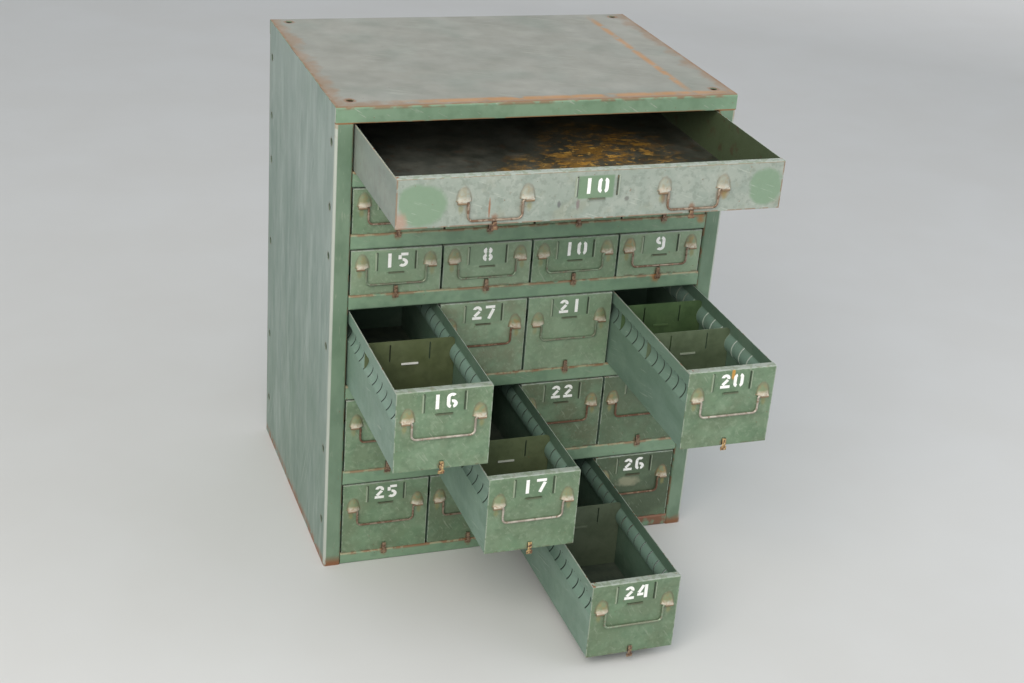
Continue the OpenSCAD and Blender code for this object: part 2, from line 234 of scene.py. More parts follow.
    def scratches(self, length: float, width: float, level: float, seed: float,
                  turn: Sequence[float] = (0, 0, 0), along: int = 2) -> Socket:
        """A mask of thin broken lines.

        Real ones are about a tenth of a millimetre wide, too fine for the render, so these are
        drawn up to half a millimetre wide.

        Args:
            length: the lines' usual length in millimetres.
            width: their spacing, of which a line takes a small part.
            level: the noise level that they start at.
            seed: moves the pattern to another place.
            turn: the pattern's turn about each axis, in degrees.
            along: the axis that they run along before the turn.

        Returns:
            The mask's socket.
        """
        stretch = [length / width if i == along else 1 for i in range(3)]
        lines = self.blotches(width, level, seed, 0.03, stretch=stretch, turn=turn, detail=1.0)
        return self.both(lines, self.blotches(length * 0.9, 0.53, seed + 3.3, 0.1))

    def scuffs(self, colour: str, strength: float, *pattern: object, **shape: int) -> Coat:
        """A coat of thin broken lines, in the pattern and shape that scratches takes."""
        return colour, self.both(self.scratches(*pattern, **shape), strength)

    def spot(self, u: Value, v: Value, centre: tuple[float, float], radii: tuple[float, float],
             soft: float = 0.5, ragged: float = 0.6, seed: float = 0.0) -> Socket:
        """A mask of one stain with a ragged edge.

        Args:
            u: the coordinate across.
            v: the coordinate up.
            centre: the stain's middle.
            radii: its half sizes.
            soft: the share of its radius over which it fades.
            ragged: how far noise moves its edge, in radii.
            seed: the noise's place.

        Returns:
            The mask's socket.
        """
        point = self.add("CombineXYZ", u, v, 0.0)
        moved = self.add("VectorMath", point, (*centre, 0.0), operation="SUBTRACT")
        scaled = self.add("VectorMath", moved, (*radii, 1.0), operation="DIVIDE")
        far = self.add("VectorMath", scaled, operation="LENGTH")
        noise = self.cloud(max(min(radii) * 0.8, 1.5), seed)
        edge = self.add("Math", noise, ragged, far, operation="MULTIPLY_ADD")
        level = 1 + ragged / 2
        return self.span(edge, None, level - soft / 2, soft)

    def paint(self, ground: str | Socket, *coats: Coat) -> Socket:
        """Lays colours over each other.

        Args:
            ground: the hex colour or socket below the rest.
            coats: the coats, the lowest first.

        Returns:
            The colour's socket.
        """
        out = linear(ground) if isinstance(ground, str) else ground
        for colour, mask in coats:
            tint = linear(colour) if isinstance(colour, str) else colour
            out = self.add("Mix", mask, out, tint, data_type="RGBA", clamp_factor=True)
        return out

    def wander(self, noise: Socket, low: float, high: float) -> Socket:
        """A roughness that follows a noise between two values."""
        return self.add("MapRange", noise, *NOISE_REACH, low, high)

    def finish(self, colour: Socket, rough: Value, metal: Value = 0.0, bump: Value | None = None,
               depth: float = 0.1) -> bpy.types.Material:
        """Joins the patterns to the shader.

        Args:
            colour: the base colour.
            rough: the roughness.
            metal: the metallic value.
            bump: the height, from 0 to 1, if the surface isn't smooth.
            depth: the height's real size in millimetres.

        Returns:
            The finished material.
        """
        for name, value in (("Base Color", colour), ("Roughness", rough), ("Metallic", metal)):
            if isinstance(value, Socket):
                self.tree.links.new(value, self.shader.inputs[name])
            else:
                self.shader.inputs[name].default_value = value
        if bump is not None:
            relief = self.add("Bump", 1.0, depth * MM, None, bump)
            self.tree.links.new(relief, self.shader.inputs["Normal"])
        return self.material


# The main colours: the enamel as new, faded, in its deeper patches and, tinted bluer by a painted
# reflection, on the drawers' walls; steel rubbed bare or gone dull; brown dirt; and rust, old, dark
# and bright, run down below a catch, in seams, in specks all over, in pits on the catches, and
# fresh from a drip
ENAMEL = "#6e8a6b"
ENAMEL_PALE = "#81997e"
ENAMEL_DEEP = "#5f7a5e"
WALL_ENAMEL_REFLECTION = "#6f8878"
BARE = "#b6b9ad"
DULL = "#98a28f"
GRIME = "#68694f"
RUST = "#84593b"
RUST_DARK = "#5f4532"
RUST_BRIGHT = "#b8702f"
RUST_RUN = "#8a5f40"
RUST_SEAM = "#8a5f38"
RUST_SPECK = "#7d5a41"
RUST_PIT = "#5b4030"
OCHRE = "#c49040"


@dataclass(frozen=True)
class Place:
    """Where a drawer stands, in millimetres.

    Attributes:
        centre: its middle across the front.
        face: its front plate's outer face.
        top: the top of its front.
        width: its full width.
        height: its full height.
    """

    centre: float
    face: float
    top: float
    width: float
    height: float

    @classmethod
    def of(cls, node: str, length: float, height: float) -> "Place":
        """Reads a drawer's place from its CAD node's box.

        Args:
            node: the drawer's node.
            length: its length from the front's face to the back, in millimetres.
            height: its height without the catch's foot, in millimetres.

        Returns:
            Its place.
        """
        low, high = (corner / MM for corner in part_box(node))
        return cls((low.x + high.x) / 2, high.y - length, high.z, high.x - low.x, height)


@dataclass(frozen=True)
class Wear:
    """How hard a front's life has been.

    Attributes:
        rust: how much of it rusts, from 0 to 1.
        grime: how much brown dirt lies on it.
        fade: how far the green has paled.
        drip: whether a rusty drip crosses it.
        smudge: whether a pale smudge lies below the number.
        brass: whether the catch still shows its brass colour.
        slits: the colour painted round the slits inside the walls: dark as painted shade, and pale
            as painted light where light comes in through them.
        painted_light: how far the front is paled with painted light, as if more light fell on it;
            the number's patch deepens with it.
        painted_shade: how far the front is darkened with painted shade.
    """

    rust: float = 0.35
    grime: float = 0.3
    fade: float = 0.5
    drip: bool = False
    smudge: bool = False
    brass: bool = False
    slits: str = "#37433a"
    painted_light: float = 0.0
    painted_shade: float = 0.0


@dataclass(frozen=True)
class DrawerEnamel:
    """Baked green enamel on folded steel: semi-gloss where it is whole, with a cleaner patch round
    the number, stains below the lugs, rust at the catch, and bare metal on lugs and upper edges.

    Its sizes are in millimetres from the middle of the front's upper edge, with z up.

    Attributes:
        name: the material's name.
        place: where the drawer stands.
        pivot_drop: from the front's top down to the bails' pivots.
        wear: how hard its life has been.
        seed: moves its patterns to another place.
        leg_x: from a bail's middle to its legs.
        bails: the bails' middles.
        hood_shift: from a leg out to the middle of its hood.
        hood_size: a hood's half width and height.
        hood_tone: the stain in the hoods.
        hood_rub_highlight: their colour where hands have rubbed them bare, lightened into a painted
            highlight.
        card_top: the upper end of the upright card slots.
        card_tall: their length.
        card_x: how far they stand from the middle.
        ledge_half: half the length of the level card slot.
        ledge_drop: from the upright slots' top down to it.
        bead: the walls' pressed bead, from its lower to its upper edge.
        first_slit: from the front's face to the first slit.
        slit_pitch: the slits' spacing.
        sheet: just less than the front plate's thickness, to tell it from the walls.
        tab_half: half the catch's width.
        tab_top: how high the catch reaches above the front's foot.
    """

    name: str
    place: Place
    pivot_drop: float
    wear: Wear
    seed: float
    leg_x: float = 44.8
    bails: tuple[float, ...] = (0.0,)
    hood_shift: float = 6.2
    hood_size: tuple[float, float] = (10.8, 20.8)
    hood_tone: str = "#7c8c69"
    hood_rub_highlight: str = "#c9c5b4"
    card_top: float = -5.5
    card_tall: float = 28.0
    card_x: float = 28.5
    ledge_half: float = 12.0
    ledge_drop: float = 31.5
    bead: tuple[float, float] = (-49.5, -19.5)
    first_slit: float = 21.0
    slit_pitch: float = 25.0
    sheet: float = 0.95
    tab_half: float = 5.2
    tab_top: float = 13.0

    def material(self) -> bpy.types.Material:
        """Builds the finish.

        Returns:
            The material.
        """
        place, seed = self.place, self.seed
        half = place.width / 2
        f = Finish(self.name, (place.centre, place.face, place.top))
        across = f.size_of(f.x)
        fore = f.span(f.y, None, self.sheet, 0.1)
        lip = f.both(f.span(f.z, -1.6, None, 0.3), f.span(f.nz, 0.5, None))
        outward = f.span(f.both(f.x, f.nx), 0.02, None, 0.02)
        walls = f.both(outward, f.span(f.y, self.sheet, None, 0.1),
                       f.span(across, half - 12, None, 0.1))
        corners = f.either(f.span(across, half - 9, None, 4), self.wear.rust * 0.5)
        rim = f.paint("#a3ada3", ("#8d9a88", f.blotches(9, 0.52, seed + 1)),
                      (RUST, f.both(f.blotches(7, 0.62, seed + 2), corners)))
        colour = f.paint(self.inside(f), (self.side(f), walls), (self.front(f), fore), (rim, lip))
        crust = f.both(f.blotches(3.0, 0.5, seed + 5), 0.5)
        rough = f.wander(f.cloud(22, seed + 6), 0.4, 0.58)
        bump = f.add("Math", f.cloud(9, seed + 7, detail=2.0), 0.8, crust,
                     operation="MULTIPLY_ADD")
        return f.finish(colour, rough, 0.0, bump, 0.1)

    def lugs(self, f: Finish, shift: float) -> Socket:
        """The distance across from the nearest line that stands shift outside a bail's leg."""
        return f.off(f.nearest(f.x, self.bails), self.leg_x + shift)

    def lug_coats(self, f: Finish) -> list[Coat]:
        """The lugs: a brown line round each hood, a stain in it, a rubbed bulge lightened with a
        painted highlight, and a run below.

        Args:
            f: the finish that they belong to.

        Returns:
            The coats, the lowest first.
        """
        rust, seed, drop = self.wear.rust, self.seed, self.pivot_drop
        wide, high = self.hood_size
        middle = (0.0, 1.5 - drop)
        x = self.lugs(f, self.hood_shift)
        above = f.span(f.z, 0.6 - drop, None, 0.6)
        outer = f.spot(x, f.z, middle, (wide + 1.0, high + 1.2), 0.14, 0.25, seed + 30)
        inner = f.both(f.spot(x, f.z, middle, (wide - 0.6, high - 1.0), 0.2, 0.25, seed + 31),
                       above)
        bulge = f.both(inner, f.span(f.z, None, 7.0 - drop, 5.0), f.span(f.y, None, -1.6, 1.2),
                       0.92)
        # The hoods' lower bulge: rubbed bare, and lightened with a painted highlight where it faces
        # up.
        rubbed = f.paint(self.hood_rub_highlight,
                         f.patches("#b29c86", 0.3 + 0.6 * rust, 5, 0.48, seed + 3, 0.14),
                         f.patches("#8d7356", 0.3 + 0.5 * rust, 4, 0.6, seed + 7, 0.06))
        run = f.spot(self.lugs(f, self.hood_shift + 3.6), f.z, (0.0, -9.0 - drop), (4.6, 8.5),
                     0.6, 0.6, seed)
        knuckle = f.both(f.span(f.y, None, -0.25, 0.1), f.span(f.off(f.z, -drop), None, 2.9, 0.4),
                         f.span(x, None, wide, 0.4))
        return [
            ("#8b8550", f.both(run, 0.3 + 0.5 * rust)),
            ("#6a583f", f.both(outer, above, 0.35 + 0.4 * rust)),
            (self.hood_tone, f.both(inner, 0.75)),
            ("#937a4c", f.both(inner, f.blotches(7, 0.5, seed + 2, 0.14), rust)),
            ("#8c7559", knuckle),
            (rubbed, bulge),
        ]

    def card_coats(self, f: Finish) -> list[Coat]:
        """The card slots' tongues: painted shade where they open, a painted highlight along their
        folds.

        Args:
            f: the finish that they belong to.

        Returns:
            The coats, the lowest first.
        """
        across = f.size_of(f.x)
        fold_x = self.card_x + 2.4
        tall = f.span(f.z, self.card_top - self.card_tall, self.card_top + 1.0, 1.0)
        ledge = f.both(f.span(across, None, self.ledge_half, 1.5),
                       f.span(f.off(f.z, self.card_top - self.ledge_drop), None, 1.3, 0.8))
        return [
            # Painted shade in the upright slots' openings.
            ("#3c4535", f.both(tall, f.span(f.off(across, self.card_x), None, 1.1, 0.6), 0.8)),
            # A painted highlight along the upright tongues' folds.
            ("#aab49f", f.both(tall, f.span(f.off(across, fold_x), None, 0.9, 0.5), 0.6)),
            # Painted shade in the level slot's gap, stronger on rustier fronts.
            ("#4a4431", f.both(ledge, 0.5 + 0.4 * self.wear.rust)),
        ]

    def catch_coat(self, f: Finish, x: Socket, skin: str, gloss: str, shine: float,
                   pits: float) -> Coat:
        """The catch, where it stands in front of the plate.

        Args:
            f: the finish that it belongs to.
            x: the distance from the catch's middle.
            skin: its colour.
            gloss: its colour where it is rubbed.
            shine: the noise level that the rubbed patches start at.
            pits: the noise level that rust starts at.

        Returns:
            The coat.
        """
        tab = f.both(f.span(f.y, None, -1.2, 0.1), f.span(x, None, self.tab_half, 0.1),
                     f.span(f.z, None, self.tab_top - self.place.height, 0.2))
        return f.paint(skin, (gloss, f.blotches(4, shine, self.seed + 13, 0.1)),
                       (RUST_PIT, f.blotches(3.5, pits, self.seed + 14, 0.06))), tab

    def front(self, f: Finish) -> Socket:
        """The front plate with its lugs and catch.

        Args:
            f: the finish that it belongs to.

        Returns:
            The colour's socket.
        """
        w, seed = self.wear, self.seed
        half, low = self.place.width / 2, -self.place.height
        across = f.size_of(f.x)
        # The number's darker patch deepens as the painted light pales the front round it.
        patch = f.both(f.span(across, None, 28, 1.5), f.span(f.z, -34.5, -4.5, 2.0), 0.3 + w.painted_light)
        halo = f.spot(self.lugs(f, self.hood_shift), f.z, (0.0, -self.pivot_drop - 2),
                      (17.0, 21.0), 0.7, 0.9, seed + 26)
        bleed = f.spot(across, f.z, (0.0, low + 4), (6.5, 8.0), 0.6, 0.9, seed + 4)
        foot = f.span(f.z, None, low + 2.2, 2.0)
        edge = f.either(f.span(across, half - 1.3, None, 0.8), f.span(f.z, -1.6, None, 0.8))
        coats = [
            f.patches(ENAMEL_PALE, 0.3 + 0.45 * w.fade, 52, 0.46, seed, 0.22, detail=5.0),
            f.patches(ENAMEL_DEEP, 0.5, 22, 0.52, seed + 1, 0.16, detail=5.0),
            f.patches(GRIME, 0.8 * w.grime, 34, 0.49, seed + 5, 0.2, detail=5.0),
            f.patches("#93a58c", 0.25 + 0.25 * w.fade, 6.5, 0.59, seed + 28, 0.1, detail=4.0),
            f.patches("#5a7258", 0.4, 8.0, 0.6, seed + 29, 0.1, detail=4.0),
            ("#5a7a5d", patch),
            ("#8f9a82", f.both(halo, f.blotches(9, 0.5, seed + 27, 0.14), 0.55)),
            # Paler enamel laid over the front as painted light, brightening it.
            f.patches("#b3c6ab", w.painted_light, 70, 0.3, seed + 21, 0.4),
            # A darker green laid over the front as painted shade.
            f.patches("#46543f", w.painted_shade, 60, 0.3, seed + 22, 0.4),
            f.scuffs(DULL, 0.5, 26, 2.2, 0.67, seed + 6, (0, 34, 0)),
            f.patches(DULL, 0.5, 5, 0.72, seed + 10, 0.02),
            ("#9ba797", f.both(edge, f.blotches(8, 0.46, seed + 11), 0.7)),
            (RUST_RUN, f.both(bleed, 0.15 + 0.7 * w.rust)),
            (RUST_DARK, f.both(foot, f.blotches(11, 0.54, seed + 8), 0.1 + 0.7 * w.rust)),
            f.patches(RUST_SPECK, 0.8, 5.0, 0.765 - 0.06 * w.rust, seed + 12, 0.02),
        ]
        if w.drip:
            drip = f.spot(f.x, f.z, (1.0, -7.0), (3.2, 11.0), 0.4, 0.9, seed)
            coats.append((OCHRE, f.both(drip, 0.9)))
        if w.smudge:
            smudge = f.spot(f.x, f.z, (-8.0, -50.0), (26.0, 11.0), 0.5, 1.0, seed)
            coats.append(("#9a9a80", f.both(smudge, 0.75)))
        skin, gloss = ("#997c50", "#c9ad7a") if w.brass else ("#7a6450", "#917b62")
        return f.paint(ENAMEL, *coats, *self.card_coats(f), *self.lug_coats(f),
                       self.catch_coat(f, across, skin, gloss, 0.54, 0.54))

    def slit_lines(self, f: Finish, width: float) -> Socket:
        """The mask of the slits' edges, which run down the beads at an even pitch.

        Args:
            f: the finish that they belong to.
            width: the lines' width.

        Returns:
            The mask's socket.
        """
        behind = f.add("Math", f.y, self.first_slit, operation="SUBTRACT")
        near = f.add("Math", behind, self.slit_pitch / 2, operation="PINGPONG")
        return f.both(f.span(near, None, width / 2, 0.5), f.span(f.z, *self.bead, 2.0))

    def side(self, f: Finish) -> Socket:
        """The outer walls, tinted bluer than the front with a painted reflection, with painted
        shade on the slits' edges down the rubbed bead.

        Args:
            f: the finish that they belong to.

        Returns:
            The colour's socket.
        """
        seed = self.seed
        return f.paint(
            # The walls' enamel, tinted bluer with a painted reflection.
            WALL_ENAMEL_REFLECTION,
            f.patches("#657e70", 0.5, 60, 0.48, seed + 15, 0.26),
            f.patches("#839b8e", 0.45, 34, 0.56, seed + 16, 0.2, stretch=(1, 3, 1)),
            ("#7c9689", f.both(f.span(f.z, *self.bead, 5), 0.45)),
            f.scuffs("#a3afa3", 0.5, 60, 2.4, 0.68, seed + 17, (12, 0, 0), along=1),
            # Painted shade darkening the slits' edges on the outer walls.
            ("#2f3b36", f.both(self.slit_lines(f, 3.0), 0.9)),
            (BARE, f.both(f.span(f.z, -2.2, None, 1.2), 0.8)),
            f.patches(RUST, 0.7, 6, 0.76, seed + 18, 0.02),
        )

    def inside(self, f: Finish) -> Socket:
        """The inner faces: darkened with painted shade towards the floor, with a painted highlight
        along the beads. The slits' own cut faces are dark on the left wall, where the light doesn't
        reach them.

        Args:
            f: the finish that they belong to.

        Returns:
            The colour's socket.
        """
        seed, low = self.seed, -self.place.height
        low_shade = f.span(f.z, None, low + 26, 40)
        floor = f.both(f.span(f.z, None, low + 2.4, 0.4), f.span(f.nz, 0.5, None))
        cuts = f.both(f.span(f.size_of(f.ny), 0.6, None, 0.2), f.span(f.x, None, 0.0))
        return f.paint(
            "#5a7362",
            # Painted shade, darker towards the drawer's floor.
            ("#3f5445", f.both(low_shade, 0.8)),
            # A painted highlight along the beads.
            ("#7b978b", f.both(f.span(f.z, *self.bead, 4), 0.75)),
            f.patches("#6e8070", 0.35, 26, 0.56, seed + 19, 0.16),
            # Round the slits inside: painted shade, made pale as painted light on the wall that
            # lets light through.
            (self.wear.slits, f.both(self.slit_lines(f, 2.8), 0.9)),
            ("#2c3630", f.both(self.slit_lines(f, 3.0), cuts, 0.9)),
            ("#454f45", floor),
            ("#5a6254", f.both(floor, f.blotches(18, 0.52, seed + 20, 0.18), 0.6)),
            f.patches("#44433a", 0.5, 9, 0.7, seed + 21, 0.05),
        )


@dataclass(frozen=True)
class TrayEnamel(DrawerEnamel):
    """The tray's finish: a greyer repaint rubbed thin, with older green left at both ends and round
    the number, and an inside gone brown-black under blooms of rust.

    Attributes:
        marks: the stains on its front, each with its colour, middle and half sizes.
    """

    leg_x: float = 37.5
    bails: tuple[float, ...] = (-142.0, 142.0)
    hood_tone: str = "#979e90"
    hood_rub_highlight: str = "#b9bbae"
    card_top: float = -9.5
    tab_top: float = 8.0
    marks: tuple[tuple[str, tuple[float, float], tuple[float, float]], ...] = (
        ("#95674a", (-150.0, -46.0), (1.8, 17.0)), ("#666968", (-53.0, -46.0), (3.2, 6.0)),
        ("#7d7371", (-26.0, -48.0), (3.4, 9.0)), ("#73756f", (44.0, -43.0), (4.0, 4.5)),
        ("#94744e", (188.0, -36.0), (10.0, 18.0)), ("#85715d", (98.0, -44.0), (4.0, 12.0)),
    )

    def front(self, f: Finish) -> Socket:
        """The long front plate with its green ends.

        Args:
            f: the finish that it belongs to.

        Returns:
            The colour's socket.
        """
        seed = self.seed
        half, low = self.place.width / 2, -self.place.height
        across = f.size_of(f.x)
        left = f.both(f.spot(f.x, f.z, (-242.0, -37.0), (37.0, 32.0), 0.2, 0.45, seed),
                      f.span(f.x, -273, None, 2))
        right = f.spot(f.x, f.z, (250.0, -36.5), (27.0, 30.0), 0.2, 0.45, seed + 25)
        patch = f.both(f.span(f.off(f.x, -2.0), None, 25.5, 2.5), f.span(f.z, -40, -8, 2.5), 0.85)
        catch_x = f.off(across, self.bails[-1])
        bleed = f.spot(catch_x, f.z, (0.0, low + 8), (6.0, 10.0), 0.6, 0.9, seed + 4)
        below = f.spot(self.lugs(f, 0.0), f.z, (0.0, -self.pivot_drop - 9.0), (4.5, 13.0), 0.6,
                       0.8, seed + 2)
        corner = f.spot(f.x, f.z, (-half + 6, low + 10), (11.0, 16.0), 0.6, 0.9, seed + 5)
        edge = f.either(f.span(across, half - 1.8, None, 1.2), f.span(f.z, -1.8, None, 1.0),
                        f.span(f.z, None, low + 1.6, 1.2))
        marks = [(colour, f.both(f.spot(f.x, f.z, middle, radii, 0.5, 0.7, seed + 31), 0.9))
                 for colour, middle, radii in self.marks]
        return f.paint(
            "#929d92",
            f.patches("#a2aaa0", 0.7, 60, 0.47, seed, 0.24, stretch=(1.6, 1, 1)),
            f.patches("#87958a", 0.5, 24, 0.56, seed + 1, 0.2),
            f.patches("#929684", 0.5, 30, 0.62, seed + 6, 0.12),
            f.patches("#b0b6ad", 0.3, 7, 0.61, seed + 28, 0.1, detail=4.0),
            f.patches("#7c877c", 0.45, 8, 0.57, seed + 29, 0.1, detail=4.0),
            ("#7a947a", f.both(f.either(left, right), 0.9)),
            ("#6b8869", patch),
            f.scuffs("#c0c7bc", 0.4, 40, 2.4, 0.69, seed + 8, (0, 70, 0)),
            ("#b08e7c", f.both(corner, 0.7)),
            ("#8a6b54", f.both(below, 0.5)),
            (RUST_RUN, f.both(bleed, 0.7)),
            ("#8b7058", f.both(edge, f.blotches(14, 0.44, seed + 11), 0.8)),
            f.patches("#80604a", 0.8, 6, 0.73, seed + 12, 0.03),
            ("#5a5142", f.blotches(4.5, 0.76, seed + 16, 0.02)),
            *marks, *self.card_coats(f), *self.lug_coats(f),
            self.catch_coat(f, catch_x, "#7d6248", "#94795a", 0.58, 0.5),
        )

    def side(self, f: Finish) -> Socket:
        """The outer walls, plain and streaked.

        Args:
            f: the finish that they belong to.

        Returns:
            The colour's socket.
        """
        seed = self.seed
        return f.paint(
            "#7d887f",
            f.patches("#8e968c", 0.6, 50, 0.5, seed + 15, 0.2, stretch=(1, 3, 1)),
            f.patches("#777a72", 0.45, 22, 0.57, seed + 16, 0.14),
            ("#b4a790", f.both(f.span(f.z, -2.4, None, 1.2), 0.8)),
            f.patches("#7d5f4a", 0.6, 8, 0.72, seed + 18, 0.04),
        )

    def inside(self, f: Finish) -> Socket:
        """The dark inside: dry rust across the middle of the floor, green left at the far right.

        Args:
            f: the finish that it belongs to.

        Returns:
            The colour's socket.
        """
        seed, low = self.seed, -self.place.height
        floor = f.both(f.span(f.z, None, low + 2.4, 0.4), f.span(f.nz, 0.5, None))
        bloom = f.either(f.spot(f.x, f.y, (20.0, 130.0), (125.0, 140.0), 0.8, 1.0, seed),
                         f.spot(f.x, f.y, (120.0, 230.0), (120.0, 160.0), 0.8, 1.0, seed + 1))
        stain = {"detail": 5.0}
        flake = {"detail": 5.0, "rough": 0.7, "stretch": (1.5, 1, 1)}
        return f.paint(
            "#3f4436",
            ("#4f5d42", f.both(f.span(f.x, 120, None, 90), 0.8)),
            ("#31342e", f.both(floor, 0.9)),
            ("#53564f", f.both(floor, f.blotches(80, 0.5, seed + 9, 0.25), 0.6)),
            ("#6a6a60", f.both(floor, f.blotches(46, 0.55, seed + 19, 0.2, **stain), 0.5)),
            ("#524a36", f.both(floor, bloom, f.blotches(44, 0.46, seed + 20, 0.16, **stain), 0.6)),
            ("#96702f", f.both(floor, bloom, f.blotches(26, 0.54, seed + 21, 0.08, **flake), 0.8)),
            ("#cf9a3e", f.both(floor, bloom, f.blotches(19, 0.57, seed + 22, 0.05, **flake), 0.9)),
            ("#e2b45a", f.both(floor, bloom, f.blotches(12, 0.6, seed + 24, 0.04, **flake), 0.85)),
            f.patches("#4d3c2c", 0.6, 16, 0.62, seed + 23, 0.1, **stain),
        )


@dataclass(frozen=True)
class CasingEnamel:
    """Enamel on the casing's sides: the same green on the stiles, greyed by years of rubbing on the
    flat sides, scratched to the metal, and rusting at seams, holes and the foot.

    Attributes:
        name: the material's name.
        half_width: half the casing's width.
        front: the stiles' front face.
        back: the casing's back.
        seam: the height of the seam below the top's front face.
        opening: half the width between the stiles.
        hole_rows: the heights of the holes.
        hole_inset: how far the holes stand from the front and the back.
        seed: moves its patterns to another place.
    """

    name: str
    half_width: float = 305.0
    front: float = -227.0
    back: float = 227.0
    seam: float = 723.0
    opening: float = 278.6
    hole_rows: tuple[float, ...] = (75.0, 200.0, 373.0, 518.0, 593.0, 690.0)
    hole_inset: float = 22.0
    seed: float = 0.0

    def material(self) -> bpy.types.Material:
        """Builds the finish.

        Returns:
            The material.
        """
        f = Finish(self.name)
        seed = self.seed
        across = f.size_of(f.x)
        flank = f.both(f.span(across, self.half_width - 0.6, None, 0.3),
                       f.span(f.y, self.front + 2.2, None, 1))
        corner = f.both(f.span(across, self.half_width - 3.6, None, 1.2),
                        f.span(f.y, None, self.front + 5, 2.5))
        bare = f.both(corner, f.blotches(90, 0.38, seed + 13, 0.2, stretch=(1, 1, 3)))
        seam = f.both(f.span(f.off(f.z, self.seam), None, 1.1, 0.8),
                      f.span(f.y, None, self.front + 6, 1))
        under = f.both(f.span(f.z, self.seam - 16, self.seam, 14),
                       f.blotches(12, 0.5, seed + 14, 0.1), 0.5)
        foot = f.both(f.span(f.z, None, 12, 14), f.blotches(15, 0.45, seed + 15, 0.12))
        heel = f.both(f.span(f.y, self.back - 5, None, 3), f.blotches(30, 0.42, seed + 16, 0.2),
                      0.6)
        colour = f.paint(self.stile(f), (self.side(f), flank), ("#b9bfb5", bare),
                         ("#93702f", f.both(under, corner)), (RUST_SEAM, seam), (RUST, foot),
                         ("#8b8672", heel))
        rough = f.wander(f.cloud(40, seed + 17, stretch=(1, 1, 2)), 0.36, 0.58)
        bump = f.cloud(60, seed + 18, detail=4.0, rough=0.4)
        return f.finish(colour, rough, f.both(bare, 0.25), bump, 0.5)

    def side(self, f: Finish) -> Socket:
        """The flat sides: clouded and streaked, with long scratches and a stain round each hole.

        Args:
            f: the finish that they belong to.

        Returns:
            The colour's socket.
        """
        seed = self.seed
        row = f.nearest(f.z, self.hole_rows)
        middle, reach = (self.front + self.back) / 2, (self.back - self.front) / 2
        column = f.off(f.off(f.y, middle), reach - self.hole_inset)
        hole = f.spot(row, column, (0.0, 0.0), (8.5, 8.5), 0.5, 0.8, seed)
        upper = f.both(f.span(f.z, 560, None, 260), f.blotches(120, 0.48, seed + 3, 0.3), 0.5)
        return f.paint(
            "#7b8d85",
            f.patches("#8d9c95", 0.7, 190, 0.46, seed, 0.3, stretch=(1, 1, 2.4)),
            f.patches("#6c8175", 0.6, 110, 0.54, seed + 1, 0.26, stretch=(1, 1, 2.2)),
            ("#6b8270", f.both(f.span(f.z, None, 330, 420), 0.55)),
            f.patches("#a9b7b0", 0.35, 30, 0.58, seed + 19, 0.14, stretch=(1, 1, 5), detail=5.0),
            f.patches("#5f776c", 0.4, 24, 0.58, seed + 20, 0.14, stretch=(1, 1, 6), detail=5.0),
            ("#97a39d", upper),
            f.scuffs("#aab5ad", 0.6, 170, 2.6, 0.68, seed + 4, (-24, 0, 0)),
            f.scuffs("#a3afa7", 0.5, 110, 2.4, 0.7, seed + 5, (3, 0, 0)),
            f.scuffs("#a3afa7", 0.4, 120, 2.4, 0.71, seed + 6, (48, 0, 0)),
            ("#6d5c48", f.both(hole, 0.7)),
            f.patches("#7d5f48", 0.8, 6, 0.76, seed + 7, 0.02),
        )

    def stile(self, f: Finish) -> Socket:
        """The stiles: the drawers' green, rusty along the opening.

        Args:
            f: the finish that they belong to.

        Returns:
            The colour's socket.
        """
        seed = self.seed
        brink = f.span(f.size_of(f.x), None, self.opening + 1.6, 1.2)
        return f.paint(
            "#69826c",
            f.patches("#7e957d", 0.6, 60, 0.47, seed + 8, 0.26, stretch=(1, 1, 3)),
            f.patches("#58715a", 0.5, 24, 0.55, seed + 9, 0.2, stretch=(1, 1, 2)),
            f.scuffs(DULL, 0.5, 30, 2.2, 0.67, seed + 10),
            (RUST, f.both(brink, f.blotches(16, 0.47, seed + 11), 0.7)),
            f.patches(RUST_SPECK, 0.8, 5.5, 0.74, seed + 12, 0.02),
        )


